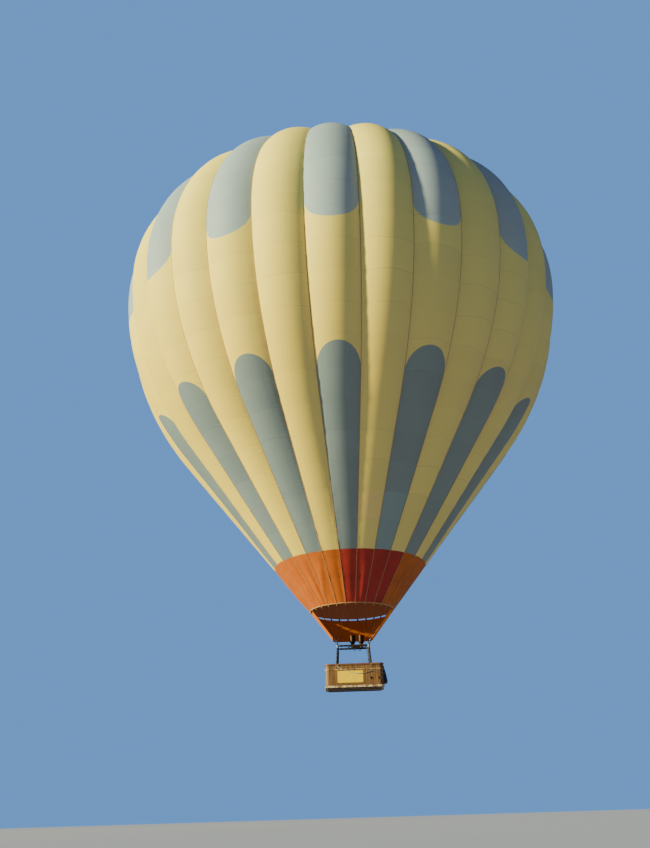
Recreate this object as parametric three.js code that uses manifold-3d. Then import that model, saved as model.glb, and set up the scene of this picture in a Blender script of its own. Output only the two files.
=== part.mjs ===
// Hot air balloon with a wicker passenger basket, in millimetres, +Z up.
// The origin is on the envelope's axis, at the height of its widest circle. The scoop opens towards -Y.
// An angle theta on the envelope is measured from -Y, growing towards +X.
import * as THREE from 'three';
import { mergeVertices } from 'three/addons/utils/BufferGeometryUtils.js';
import Module from 'manifold-3d';

// Envelope
const GORES = 28;
const FIRST_SEAM = 5.395;
const EQUATOR_R = 11550;
const CROWN_H = 8000;
const CROWN_POWER_R = 2.7;
const CROWN_POWER_Z = 1.95;
const TAPER_H = 16900;
const TAPER_R = 21700;
const CONE_ANGLE = 38.6;
const BAND_TOP_Z = -14550;
const MOUTH_Z = -16731;
const VENT_R = 2600;
const FABRIC = 10;
const SEAM_DEPTH = 0.038;
const VENT_SEAM_DEPTH = 0.0005;
const MOUTH_SEAM_DEPTH = 0.007;
const DEEP_SEAM_R = 8000;
const DEEP_SEAM_Z = -8000;
const CROWN_STEPS = 6;
const TAPER_STEPS = 4;
const CONE_STEPS = 1;
const BAND_STEPS = 1;
const GORE_COLUMNS = 4;

// Crown and vent
const CROWN_RING_R = 330;
const CROWN_RING_BORE = 280;
const CROWN_RING_H = 24;
const TAPE_W = 60;
const TAPE_T = 8;
const VALVE_R = 2950;
const VALVE_CLEAR = 12;

// Rigging from the mouth to the load frame
const WIRE_R = 4;
const STUB_W = 34;
const STUB_T = 10;
const STUB_SHARE = 0.05;
const SHACKLE_Z = -18332;
const SHACKLE_H = 34;
const SHACKLE_W = 60;

// Scoop
const SCOOP_FROM = 72;
const SCOOP_DROP = 95;
const SCOOP_BOTTOM_Z = -18080;
const SCOOP_ROWS = 3;
const SCOOP_CLEAR = 12;
const SCOOP_SLOPE = 41;
const FIRST_TAB = 6;
const LAST_TAB = 21;
const TAB_W = 44;
const TAB_REACH = 1.2;

// Load frame and uprights
const FRAME_X = 745;
const FRAME_Y = 460;
const FRAME_Z = -18460;
const FRAME_PAD_R = 40;
const CORNER_BOSS_R = 50;
const CORNER_DROP = 100;
const CORNER_RISE = 46;
const CORNER_ARM = 72;
const CORNER_ARM_R = 25;
const LUG_H = 84;
const LUG_W = 60;
const LUG_T = 16;
const FOOT_X = 800;
const FOOT_Y = 755;
const UPRIGHT_R = 45;

// Burner on its gimbal
const BURNER_X = 190;
const RING_X = 390;
const RING_Y = 230;
const RING_BAR = 30;
const RAIL_W = 40;
const RAIL_GAP = 25;
const BLOCK = 30;
const BLOCK_DROP = 40;
const PIN_R = 12;
const PIN_LAP = 10;
const PIN_GAP = 0.6;
const CROSS_TUBE = 35;
const JET_R = 85;
const JET_DROP = 45;
const LEVER_R = 9;
const GRIP_R = 14;
const CAN_X = 210;
const CAN_R = 145;
const CAN_WALL = 18;
const CAN_LIP_H = 60;
const CAN_LIP_IN = 12;
const CAN_BOTTOM_Z = -18220;
const CAN_TOP_Z = -17910;

// Basket
const BASKET_X = 1370;
const BASKET_Y = 800;
const BASKET_CORNER = 180;
const BASKET_BOTTOM_Z = -20430;
const RIM_TOP_Z = -19340;
const RIM_H = 90;
const RIM_OUT = 26;
const RIM_BEVEL = 22;
const FOOTHOLD_W = 130;
const FOOTHOLD_H = 80;
const FOOTHOLD_Z = 350;
const FOOTHOLD_X = [800, 1180];
const WALL = 38;
const FLOOR_T = 18;
const RUNNER_H = 40;
const RUNNER_W = 90;
const RUNNER_Y = 600;
const RUNNER_END = 1250;
const PARTITION_X = 380;
const PARTITION_T = 40;
const PARTITION_TOP_Z = -19430;
const CYLINDER_R = 150;
const CYLINDER_H = 860;
const CYLINDER_X = 200;
const CYLINDER_Y = 585;
const BASE_BAND_H = 110;
const BASE_BAND_T = 6;

// The clearance that separate solids keep where they meet
const GAP = 0.3;

const wasm = await Module();
wasm.setup();

const radians = THREE.MathUtils.degToRad;
const lerp = THREE.MathUtils.lerp;
const clamp = THREE.MathUtils.clamp;
const point = (x, y, z) => new THREE.Vector3(x, y, z);
const group = new THREE.Group();

function paint(color, roughness, metalness) {
  return new THREE.MeshStandardMaterial({ color, roughness, metalness });
}

const finish = {
  yellowNylon: () => paint('#e4dda4', 0.6, 0),
  orangeFabric: () => paint('#d0802f', 0.65, 0),
  redFabric: () => paint('#9c2a1c', 0.65, 0),
  scoopFabric: () => paint('#a8482a', 0.65, 0),
  webbing: () => paint('#d8cf9c', 0.8, 0),
  wire: () => paint('#8a8d90', 0.35, 1),
  padding: () => paint('#2c2b2e', 0.8, 0),
  steel: () => paint('#a9acae', 0.3, 1),
  wicker: () => paint('#9b6c3c', 0.8, 0),
  plywood: () => paint('#8a6a44', 0.7, 0),
  leather: () => paint('#4a3428', 0.6, 0),
  aluminium: () => paint('#b9bcbf', 0.4, 0.9),
  banner: () => paint('#ecd23c', 0.6, 0),
  bag: () => paint('#1d2444', 0.75, 0),
  rope: () => paint('#b9b8ae', 0.85, 0),
  rubber: () => paint('#26262a', 0.7, 0),
};

function add(name, geometry, material, place = point(0, 0, 0)) {
  const mesh = new THREE.Mesh(geometry, material);
  mesh.name = name;
  mesh.position.copy(place);
  group.add(mesh);
}

function toSolid(geometry) {
  const bare = geometry.clone();
  bare.deleteAttribute('normal');
  bare.deleteAttribute('uv');
  const merged = mergeVertices(bare, 1e-3);
  const vertProperties = new Float32Array(merged.getAttribute('position').array);
  const triVerts = new Uint32Array(merged.index.array);
  return new wasm.Manifold(new wasm.Mesh({ numProp: 3, vertProperties, triVerts }));
}

function toGeometry(solid) {
  const { vertProperties, triVerts } = solid.getMesh();
  const geometry = new THREE.BufferGeometry();
  geometry.setAttribute('position', new THREE.BufferAttribute(vertProperties, 3));
  geometry.setIndex(new THREE.BufferAttribute(triVerts, 1));
  return geometry;
}

function joined(geometries) {
  return toGeometry(geometries.map(toSolid).reduce((whole, piece) => whole.add(piece)));
}

function cutBy(geometry, tools) {
  return toGeometry(tools.map(toSolid).reduce((whole, tool) => whole.subtract(tool), toSolid(geometry)));
}

// A horizontal unit vector at an angle theta from -Y towards +X.
function outwards(theta) {
  return point(Math.sin(radians(theta)), -Math.cos(radians(theta)), 0);
}

// A closed wall between an outer and an inner grid of points: rows from the top down, columns with theta.
function wallBetween(outer, inner) {
  const rows = outer.length;
  const columns = outer[0].length;
  const last = rows - 1;
  const end = columns - 1;
  const index = [];
  const at = (side, i, j) => (side * rows + i) * columns + j;
  const quad = (a, b, c, d) => index.push(a, b, c, a, c, d);
  for (let i = 0; i < last; i += 1) {
    for (let j = 0; j < end; j += 1) {
      quad(at(0, i, j), at(0, i + 1, j), at(0, i + 1, j + 1), at(0, i, j + 1));
      quad(at(1, i, j), at(1, i, j + 1), at(1, i + 1, j + 1), at(1, i + 1, j));
    }
    quad(at(0, i + 1, 0), at(0, i, 0), at(1, i, 0), at(1, i + 1, 0));
    quad(at(0, i, end), at(0, i + 1, end), at(1, i + 1, end), at(1, i, end));
  }
  for (let j = 0; j < end; j += 1) {
    quad(at(0, 0, j), at(0, 0, j + 1), at(1, 0, j + 1), at(1, 0, j));
    quad(at(0, last, j + 1), at(0, last, j), at(1, last, j), at(1, last, j + 1));
  }
  const geometry = new THREE.BufferGeometry();
  const positions = [...outer.flat(), ...inner.flat()].flatMap((p) => [p.x, p.y, p.z]);
  geometry.setAttribute('position', new THREE.Float32BufferAttribute(positions, 3));
  geometry.setIndex(index);
  return geometry;
}

function boxAt(x0, x1, y0, y1, z0, z1) {
  const box = new THREE.BoxGeometry(x1 - x0, y1 - y0, z1 - z0);
  return box.translate((x0 + x1) / 2, (y0 + y1) / 2, (z0 + z1) / 2);
}

// A round bar between two points.
function bar(from, to, radius, sides) {
  const along = to.clone().sub(from);
  const geometry = new THREE.CylinderGeometry(radius, radius, along.length(), sides);
  const turn = new THREE.Quaternion().setFromUnitVectors(point(0, 1, 0), along.clone().normalize());
  const middle = from.clone().add(to).multiplyScalar(0.5);
  return geometry.applyQuaternion(turn).translate(middle.x, middle.y, middle.z);
}

// A leaning post with level ends.
function leaningPost(foot, head, radius, sides) {
  const height = head.z - foot.z;
  const post = new THREE.CylinderGeometry(radius, radius, height, sides).rotateX(Math.PI / 2);
  post.translate(0, 0, height / 2);
  const lean = new THREE.Matrix4();
  lean.elements[8] = (head.x - foot.x) / height;
  lean.elements[9] = (head.y - foot.y) / height;
  return post.applyMatrix4(lean);
}

// A solid of revolution about Z: the profile's [radius, height] pairs run anticlockwise.
function turned(profile, sides) {
  const points = profile.map(([r, z]) => new THREE.Vector2(r, z));
  return new THREE.LatheGeometry(points, sides).rotateX(Math.PI / 2);
}

function roundedRectangle(halfX, halfY, corner, path) {
  path.moveTo(halfX, -halfY + corner);
  path.lineTo(halfX, halfY - corner);
  path.absarc(halfX - corner, halfY - corner, corner, 0, Math.PI / 2, false);
  path.lineTo(-halfX + corner, halfY);
  path.absarc(-halfX + corner, halfY - corner, corner, Math.PI / 2, Math.PI, false);
  path.lineTo(-halfX, -halfY + corner);
  path.absarc(-halfX + corner, -halfY + corner, corner, Math.PI, 1.5 * Math.PI, false);
  path.lineTo(halfX - corner, -halfY);
  path.absarc(halfX - corner, -halfY + corner, corner, 1.5 * Math.PI, 2 * Math.PI, false);
  return path;
}

// An upright ring that follows the basket's plan, from an outer offset to an inner one.
function basketRing(outside, inside, height, bevel = 0) {
  const grow = (offset, path) => {
    return roundedRectangle(BASKET_X + offset, BASKET_Y + offset, BASKET_CORNER + offset, path);
  };
  const plan = grow(outside - bevel, new THREE.Shape());
  plan.holes.push(grow(inside + bevel, new THREE.Path()));
  const settings = { depth: height - 2 * bevel, curveSegments: 3, bevelEnabled: bevel > 0 };
  Object.assign(settings, { bevelThickness: bevel, bevelSize: bevel, bevelSegments: 1 });
  return new THREE.ExtrudeGeometry(plan, settings).translate(0, 0, bevel);
}

// A tube of a round section along a smooth route.
function tubeAlong(route, radius, steps) {
  const section = new THREE.Shape();
  section.absarc(0, 0, radius, 0, 2 * Math.PI, false);
  const extrudePath = new THREE.CatmullRomCurve3(route);
  return new THREE.ExtrudeGeometry(section, { steps, curveSegments: 4, extrudePath, bevelEnabled: false });
}

// The envelope's profile at the gores' crests. Each row holds a radius, a height and the outward normal.
const taperEnd = Math.atan((Math.tan(radians(CONE_ANGLE)) * TAPER_H) / TAPER_R);
const coneTopR = EQUATOR_R - TAPER_R * (1 - Math.cos(taperEnd));
const coneTopZ = -TAPER_H * Math.sin(taperEnd);

function crownRow(turn) {
  const r = EQUATOR_R * Math.cos(turn) ** (2 / CROWN_POWER_R);
  const z = CROWN_H * Math.sin(turn) ** (2 / CROWN_POWER_Z);
  const slopeR = (CROWN_POWER_R / EQUATOR_R) * (r / EQUATOR_R) ** (CROWN_POWER_R - 1);
  const slopeZ = (CROWN_POWER_Z / CROWN_H) * (z / CROWN_H) ** (CROWN_POWER_Z - 1);
  return { r, z, normal: new THREE.Vector2(slopeR, slopeZ).normalize() };
}

function taperRow(turn) {
  const normal = new THREE.Vector2(TAPER_H * Math.cos(turn), -TAPER_R * Math.sin(turn)).normalize();
  return { r: EQUATOR_R - TAPER_R * (1 - Math.cos(turn)), z: -TAPER_H * Math.sin(turn), normal };
}

function coneRow(z) {
  const angle = radians(CONE_ANGLE);
  const normal = new THREE.Vector2(Math.cos(angle), -Math.sin(angle));
  return { r: coneTopR - (coneTopZ - z) * Math.tan(angle), z, normal };
}

function goreRows() {
  const rows = [];
  const ventTurn = Math.acos((VENT_R / EQUATOR_R) ** (CROWN_POWER_R / 2));
  for (let i = CROWN_STEPS; i > 0; i -= 1) {
    rows.push(crownRow((ventTurn * i) / CROWN_STEPS));
  }
  for (let i = 0; i <= TAPER_STEPS; i += 1) {
    rows.push(taperRow((taperEnd * i) / TAPER_STEPS));
  }
  for (let i = 1; i <= CONE_STEPS; i += 1) {
    rows.push(coneRow(lerp(coneTopZ, BAND_TOP_Z + GAP, i / CONE_STEPS)));
  }
  return rows;
}

function bandRows() {
  const rows = [];
  for (let i = 0; i <= BAND_STEPS; i += 1) {
    rows.push(coneRow(lerp(BAND_TOP_Z - GAP, MOUTH_Z, i / BAND_STEPS)));
  }
  return rows;
}

// How far a seam lies inside the crests, as a share of the radius. It fades out at the vent and the mouth.
function seamDepth(row) {
  const upper = row.z > 0;
  const fromVent = (row.r - VENT_R) / (DEEP_SEAM_R - VENT_R);
  const fromMouth = (row.z - MOUTH_Z) / (DEEP_SEAM_Z - MOUTH_Z);
  const t = clamp(upper ? fromVent : fromMouth, 0, 1);
  return lerp(upper ? VENT_SEAM_DEPTH : MOUTH_SEAM_DEPTH, SEAM_DEPTH, t * t * (3 - 2 * t));
}

const seamAngle = (k) => FIRST_SEAM + (360 / GORES) * k;

// A point of a gore's bulged cross-section: side goes from -1 at one seam to 1 at the next.
function gorePoint(row, gore, side, trim) {
  const half = radians(180 / GORES);
  const seamR = row.r * (1 - seamDepth(row));
  const chord = seamR * Math.sin(half);
  const rise = row.r - seamR * Math.cos(half);
  const arcR = (chord * chord + rise * rise) / (2 * rise);
  const turn = Math.asin(chord / arcR) * side;
  const centre = outwards(seamAngle(gore + 0.5));
  const along = point(-centre.y, centre.x, 0);
  const out = row.r - arcR + arcR * Math.cos(turn);
  const aside = arcR * Math.sin(turn) + trim;
  return centre.multiplyScalar(out).addScaledVector(along, aside).setZ(row.z);
}

// The wall of a run of gores from one seam to another.
function goreWall(rows, firstSeam, count) {
  const outer = [];
  const inner = [];
  for (const row of rows) {
    const outerRow = [];
    for (let j = 0; j <= count * GORE_COLUMNS; j += 1) {
      const gore = Math.min(Math.floor(j / GORE_COLUMNS), count - 1);
      const side = (2 * (j - gore * GORE_COLUMNS)) / GORE_COLUMNS - 1;
      const trim = (j === 0 ? GAP / 2 : 0) - (j === count * GORE_COLUMNS ? GAP / 2 : 0);
      outerRow.push(gorePoint(row, firstSeam + gore, side, trim));
    }
    outer.push(outerRow);
    inner.push(outerRow.map((p) => {
      const radial = point(p.x, p.y, 0).normalize();
      return p.clone().addScaledVector(radial, -FABRIC * row.normal.x).setZ(p.z - FABRIC * row.normal.y);
    }));
  }
  return wallBetween(outer, inner);
}

// The yellow gores, two to a piece. In each pair the first gore carries the grey-blue patches.
const rows = goreRows();
for (let pair = 0; pair < GORES / 2; pair += 1) {
  const number = String(pair + 1).padStart(2, '0');
  add(`gore_pair_${number}`, goreWall(rows, 2 * pair - 1, 2), finish.yellowNylon());
}

// The heat-proof band below the gores, in four panels: name, first seam, gores, finish.
const bandPanels = [
  ['mouth_band_front', -1, 4, finish.redFabric],
  ['mouth_band_right', 3, 10, finish.orangeFabric],
  ['mouth_band_back', 13, 4, finish.redFabric],
  ['mouth_band_left', 17, 10, finish.orangeFabric],
];
for (const [name, firstSeam, count, fabric] of bandPanels) {
  add(name, goreWall(bandRows(), firstSeam, count), fabric());
}

// Level load tapes over the vent, from the gores' upper edge to the crown ring.
const ventEdge = rows[0];
const tapeZ = ventEdge.z - FABRIC / 2;
const tapeEnd = ventEdge.r * (1 - VENT_SEAM_DEPTH) - FABRIC * ventEdge.normal.x - 4 * GAP;
const crownRing = [
  [CROWN_RING_BORE, -TAPE_T / 2],
  [CROWN_RING_R, -TAPE_T / 2],
  [CROWN_RING_R, CROWN_RING_H - TAPE_T / 2],
  [CROWN_RING_BORE, CROWN_RING_H - TAPE_T / 2],
  [CROWN_RING_BORE, -TAPE_T / 2],
];
const crownPieces = [turned(crownRing, GORES)];
for (let k = 0; k < GORES; k += 1) {
  const tapeStart = (CROWN_RING_BORE + CROWN_RING_R) / 2;
  const tape = boxAt(tapeStart, tapeEnd, -TAPE_W / 2, TAPE_W / 2, -TAPE_T / 2, TAPE_T / 2);
  crownPieces.push(tape.rotateZ(radians(seamAngle(k) - 90)));
}
add('crown_tapes', joined(crownPieces), finish.webbing(), point(0, 0, tapeZ));

// The parachute valve: a shallow dome that closes the vent from inside and is pulled down to open it.
// Its rim is seated under the gores, along the line of their inner faces from the first row to the second.
function innerSeam(row) {
  const seam = new THREE.Vector2(row.r * (1 - seamDepth(row)), row.z);
  return seam.addScaledVector(row.normal, -FABRIC);
}

const seatTop = innerSeam(rows[0]);
const seatFoot = innerSeam(rows[1]);
const seatShare = (VALVE_R - seatTop.x) / (seatFoot.x - seatTop.x);
const valveRim = lerp(seatTop.y, seatFoot.y, seatShare) - 2 * GAP;
const valveTop = tapeZ - TAPE_T / 2 - VALVE_CLEAR;
const valveDrop = valveTop - valveRim;
const valveProfile = [
  [0, -FABRIC],
  [VALVE_R / 2, -FABRIC - valveDrop / 4],
  [VALVE_R, -FABRIC - valveDrop],
  [VALVE_R, -valveDrop],
  [VALVE_R / 2, -valveDrop / 4],
  [0, 0],
];
const valve = turned(valveProfile, GORES).rotateZ(radians(FIRST_SEAM));
add('parachute_valve', valve, finish.yellowNylon(), point(0, 0, valveTop));

// Where the lines from a seam meet the load frame: 7 to a corner, and between two corners along the frame.
const corners = [
  { name: 'front_right', x: FRAME_X, y: -FRAME_Y },
  { name: 'back_right', x: FRAME_X, y: FRAME_Y },
  { name: 'back_left', x: -FRAME_X, y: FRAME_Y },
  { name: 'front_left', x: -FRAME_X, y: -FRAME_Y },
];
const WIRES = GORES / corners.length;

function lineFoot(seam) {
  const quarter = Math.floor(seam / WIRES) % corners.length;
  const passed = clamp(seam - WIRES * Math.floor(seam / WIRES) - (WIRES - 1), 0, 1);
  const next = corners[(quarter + 1) % corners.length];
  const here = corners[quarter];
  return point(lerp(here.x, next.x, passed), lerp(here.y, next.y, passed), SHACKLE_Z);
}

// A point on the straight line from the mouth to the frame at a seam, share 0 to 1, moved out level.
const mouthSeamR = coneRow(MOUTH_Z).r * (1 - MOUTH_SEAM_DEPTH);
const mouthLineZ = MOUTH_Z - 1.5 * GAP;

function linePoint(seam, share, outTop, outFoot = outTop) {
  const out = outwards(seamAngle(seam));
  const top = out.clone().multiplyScalar(mouthSeamR + outTop).setZ(mouthLineZ);
  const foot = lineFoot(seam).addScaledVector(out, outFoot);
  return top.lerp(foot, share);
}

// A flat strap that follows the line at a seam, with level ends.
function strapOnLine(seam, fromShare, toShare, width, inside, outside) {
  const aside = point(0, 0, 1).cross(outwards(seamAngle(seam))).multiplyScalar(width / 2);
  const edge = (share, [outTop, outFoot]) => {
    const middle = linePoint(seam, share, outTop, outFoot);
    return [middle.clone().sub(aside), middle.clone().add(aside)];
  };
  const grid = (offsets) => [edge(fromShare, offsets), edge(toShare, offsets)];
  return wallBetween(grid(outside), grid(inside));
}

// Flying wires, seven to a corner, each with its webbing end at the mouth and all of them in one shackle.
const WIRE_TOP = -STUB_T / 2 - GAP;
for (const [quarter, corner] of corners.entries()) {
  const foot = point(corner.x, corner.y, SHACKLE_Z);
  const half = SHACKLE_W / 2;
  const pieces = [boxAt(-half, half, -half, half, -SHACKLE_H / 2, SHACKLE_H / 2)];
  for (let i = 0; i < WIRES; i += 1) {
    const seam = quarter * WIRES + i;
    const stubIn = [WIRE_TOP - STUB_T / 2, -STUB_T / 2];
    const stubOut = [WIRE_TOP + STUB_T / 2, STUB_T / 2];
    const top = linePoint(seam, STUB_SHARE / 2, WIRE_TOP, 0).sub(foot);
    const stub = strapOnLine(seam, 0, STUB_SHARE, STUB_W, stubIn, stubOut);
    pieces.push(bar(top, point(0, 0, 0), WIRE_R, 6));
    pieces.push(stub.translate(-foot.x, -foot.y, -foot.z));
  }
  add(`flying_wires_${corner.name}`, joined(pieces), finish.wire(), foot);
}

// The scoop: fabric outside the wires, round the sides and the back, with a tab to the mouth at each seam.
const lineLength = mouthLineZ - SHACKLE_Z;
const scoopTop = SCOOP_DROP / lineLength;
const scoopEnd = (mouthLineZ - SCOOP_BOTTOM_Z) / lineLength;
const scoopLevel = FABRIC / Math.cos(radians(SCOOP_SLOPE));
const scoopIn = [GAP * 3, SCOOP_CLEAR];
const scoopOut = [scoopIn[0] + scoopLevel, scoopIn[1] + scoopLevel];
const scoopSeams = [(SCOOP_FROM - FIRST_SEAM) / (360 / GORES)];
for (let seam = FIRST_TAB; seam <= LAST_TAB; seam += 1) {
  scoopSeams.push(seam);
}
scoopSeams.push((360 - SCOOP_FROM - FIRST_SEAM) / (360 / GORES));
const scoopGrid = ([outTop, outFoot]) => {
  const grid = [];
  for (let i = 0; i <= SCOOP_ROWS; i += 1) {
    const share = lerp(scoopTop, scoopEnd, i / SCOOP_ROWS);
    grid.push(scoopSeams.map((seam) => linePoint(seam, share, outTop, outFoot)));
  }
  return grid;
};
const scoopPieces = [wallBetween(scoopGrid(scoopOut), scoopGrid(scoopIn))];
for (let seam = FIRST_TAB; seam <= LAST_TAB; seam += 1) {
  scoopPieces.push(strapOnLine(seam, 0, scoopTop * TAB_REACH, TAB_W, scoopIn, scoopOut));
}
add('scoop', joined(scoopPieces), finish.scoopFabric());

// The load frame: four padded bars between steel corners, each with a wire lug and an upright's socket.
const barX = FRAME_X - CORNER_ARM - GAP;
const barY = FRAME_Y - CORNER_ARM - GAP;
const frameBars = [
  ['load_frame_front', point(-barX, -FRAME_Y, 0), point(barX, -FRAME_Y, 0)],
  ['load_frame_back', point(-barX, FRAME_Y, 0), point(barX, FRAME_Y, 0)],
  ['load_frame_left', point(-FRAME_X, -barY, 0), point(-FRAME_X, barY, 0)],
  ['load_frame_right', point(FRAME_X, -barY, 0), point(FRAME_X, barY, 0)],
];
for (const [name, from, to] of frameBars) {
  add(name, bar(from, to, FRAME_PAD_R, 12), finish.padding(), point(0, 0, FRAME_Z));
}

const lugTop = SHACKLE_Z - SHACKLE_H / 2 - GAP - FRAME_Z;
for (const { name, x, y } of corners) {
  const pieces = [
    bar(point(0, 0, -CORNER_DROP), point(0, 0, CORNER_RISE), CORNER_BOSS_R, 16),
    bar(point(0, 0, 0), point(-Math.sign(x) * CORNER_ARM, 0, 0), CORNER_ARM_R, 12),
    bar(point(0, 0, 0), point(0, -Math.sign(y) * CORNER_ARM, 0), CORNER_ARM_R, 12),
    boxAt(-LUG_W / 2, LUG_W / 2, -LUG_T / 2, LUG_T / 2, lugTop - LUG_H, lugTop),
  ];
  add(`frame_corner_${name}`, joined(pieces), finish.steel(), point(x, y, FRAME_Z));
}

// Uprights lean in from the basket's rim to the frame's corners.
const socketZ = FRAME_Z - CORNER_DROP - GAP;
for (const { name, x, y } of corners) {
  const foot = point(Math.sign(x) * FOOT_X, Math.sign(y) * FOOT_Y, RIM_TOP_Z + GAP);
  add(`upright_${name}`, leaningPost(foot, point(x, y, socketZ), UPRIGHT_R, 12), finish.padding(), foot);
}

// Rails across the frame carry the gimbal's pivots, one bearing block on each, on the X axis of the burner.
const railY = FRAME_Y - FRAME_PAD_R - GAP;
const rails = [
  ['gimbal_rail_left', -1],
  ['gimbal_rail_right', 1],
];
for (const [name, side] of rails) {
  const x = BURNER_X + side * (RING_X + RAIL_GAP + RAIL_W / 2);
  const half = RAIL_W / 2;
  const pieces = [
    boxAt(-half, half, -railY, railY, -half, half),
    boxAt(-half, half, -BLOCK, BLOCK, -BLOCK_DROP, BLOCK),
  ];
  add(name, joined(pieces), finish.steel(), point(x, 0, FRAME_Z));
}

// The gimbal ring turns about X on two pins against the blocks.
const innerX = RING_X - RING_BAR;
const innerY = RING_Y - RING_BAR;
const ringPieces = [
  cutBy(
    boxAt(-RING_X, RING_X, -RING_Y, RING_Y, -RING_BAR / 2, RING_BAR / 2),
    [boxAt(-innerX, innerX, -innerY, innerY, -RING_BAR, RING_BAR)],
  ),
];
const ringPin = RING_X + RAIL_GAP - PIN_GAP;
for (const side of [-1, 1]) {
  const root = point(side * (RING_X - PIN_LAP), 0, 0);
  ringPieces.push(bar(root, point(side * ringPin, 0, 0), PIN_R, 12));
}
add('gimbal_ring', joined(ringPieces), finish.steel(), point(BURNER_X, 0, FRAME_Z));

// The burner base turns about Y in the ring: a cross tube, a jet block for each can, two valve levers.
const canFoot = CAN_BOTTOM_Z - FRAME_Z - GAP;
const jetBlock = [
  [0, -JET_DROP],
  [JET_R, -JET_DROP],
  [JET_R, canFoot - 70],
  [CAN_R, canFoot - 20],
  [CAN_R, canFoot],
  [0, canFoot],
];
const basePin = innerY - PIN_GAP;
const basePieces = [boxAt(-CAN_X, CAN_X, -CROSS_TUBE, CROSS_TUBE, -CROSS_TUBE, CROSS_TUBE)];
for (const side of [-1, 1]) {
  const leverRoot = point(side * CAN_X, -60, -20);
  const leverKnee = point(side * 168, -150, -190);
  const gripEnd = point(side * 63, -165, -195);
  basePieces.push(bar(point(0, 0, 0), point(0, side * basePin, 0), PIN_R, 12));
  basePieces.push(turned(jetBlock, 20).translate(side * CAN_X, 0, 0));
  basePieces.push(bar(leverRoot, leverKnee, LEVER_R, 8));
  basePieces.push(bar(leverKnee, gripEnd, GRIP_R, 8));
}
add('burner_base', joined(basePieces), finish.steel(), point(BURNER_X, 0, FRAME_Z));

const canHeight = CAN_TOP_Z - CAN_BOTTOM_Z;
const canProfile = [
  [CAN_R - CAN_WALL, 0],
  [CAN_R, 0],
  [CAN_R, canHeight - CAN_LIP_H],
  [CAN_R - CAN_LIP_IN, canHeight],
  [CAN_R - CAN_WALL - CAN_LIP_IN, canHeight],
  [CAN_R - CAN_WALL, canHeight - CAN_LIP_H],
  [CAN_R - CAN_WALL, 0],
];
for (const [name, side] of [['burner_can_left', -1], ['burner_can_right', 1]]) {
  add(name, turned(canProfile, 24), finish.steel(), point(BURNER_X + side * CAN_X, 0, CAN_BOTTOM_Z));
}

// The basket: woven wall, padded rim, floor on runners, a leather wrap round the foot, two T-walls inside.
const footholds = [];
for (const reach of FOOTHOLD_X) {
  for (const side of [-1, 1]) {
    const x = -side * reach;
    const y = side * (BASKET_Y - WALL / 2);
    const half = FOOTHOLD_W / 2;
    const top = FOOTHOLD_Z + FOOTHOLD_H;
    footholds.push(boxAt(x - half, x + half, y - WALL, y + WALL, FOOTHOLD_Z, top));
  }
}
const wallHeight = RIM_TOP_Z - RIM_H - BASKET_BOTTOM_Z - GAP;
const wallBase = point(0, 0, BASKET_BOTTOM_Z);
add('basket_wall', cutBy(basketRing(0, -WALL, wallHeight), footholds), finish.wicker(), wallBase);

const rimBase = point(0, 0, RIM_TOP_Z - RIM_H);
add('basket_rim', basketRing(RIM_OUT, -WALL - RIM_OUT, RIM_H, RIM_BEVEL), finish.leather(), rimBase);
add('base_band', basketRing(BASE_BAND_T + GAP, GAP, BASE_BAND_H), finish.leather(), wallBase);

const inside = WALL + GAP;
const floorPlan = roundedRectangle(
  BASKET_X - inside,
  BASKET_Y - inside,
  BASKET_CORNER - inside,
  new THREE.Shape(),
);
const floorSettings = { depth: FLOOR_T, curveSegments: 3, bevelEnabled: false };
const floorPieces = [new THREE.ExtrudeGeometry(floorPlan, floorSettings)];
for (const row of [-1, 0, 1]) {
  const y0 = row * RUNNER_Y - RUNNER_W / 2;
  floorPieces.push(boxAt(-RUNNER_END, RUNNER_END, y0, y0 + RUNNER_W, -RUNNER_H, 1));
}
add('basket_floor', joined(floorPieces), finish.plywood(), wallBase);

const floorTop = BASKET_BOTTOM_Z + FLOOR_T + GAP;
for (const [name, side] of [['partition_left', -1], ['partition_right', 1]]) {
  const half = PARTITION_T / 2;
  const end = BASKET_X - inside;
  const reach = BASKET_Y - inside;
  const height = PARTITION_TOP_Z - floorTop;
  const x0 = PARTITION_X - half;
  const x1 = PARTITION_X + half;
  const pieces = [boxAt(x0, x1, -reach, reach, 0, height), boxAt(x1 - 5, end, -half, half, 0, height)];
  const wall = joined(pieces);
  add(name, side > 0 ? wall : wall.rotateZ(Math.PI), finish.wicker(), point(0, 0, floorTop));
}

// Four fuel cylinders stand in the corners of the pilot's compartment.
const VALVE_TOP = 930;
const cylinderProfile = [
  [0, 0],
  [115, 0],
  [CYLINDER_R, 50],
  [CYLINDER_R, CYLINDER_H - 70],
  [110, CYLINDER_H - 15],
  [60, CYLINDER_H],
  [30, CYLINDER_H],
  [30, VALVE_TOP],
  [0, VALVE_TOP],
];
for (const { name, x, y } of corners) {
  const place = point(Math.sign(x) * CYLINDER_X, Math.sign(y) * CYLINDER_Y, floorTop);
  add(`fuel_cylinder_${name}`, turned(cylinderProfile, 16), finish.aluminium(), place);
}

// A blank banner on the front wall, and a line bag on the right-hand end.
const BANNER = { x0: -780, x1: 400, z0: 220, z1: 740, t: 6 };
const bannerBack = -BASKET_Y - GAP;
const banner = boxAt(BANNER.x0, BANNER.x1, bannerBack - BANNER.t, bannerBack, BANNER.z0, BANNER.z1);
add('banner', banner, finish.banner(), wallBase);

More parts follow.
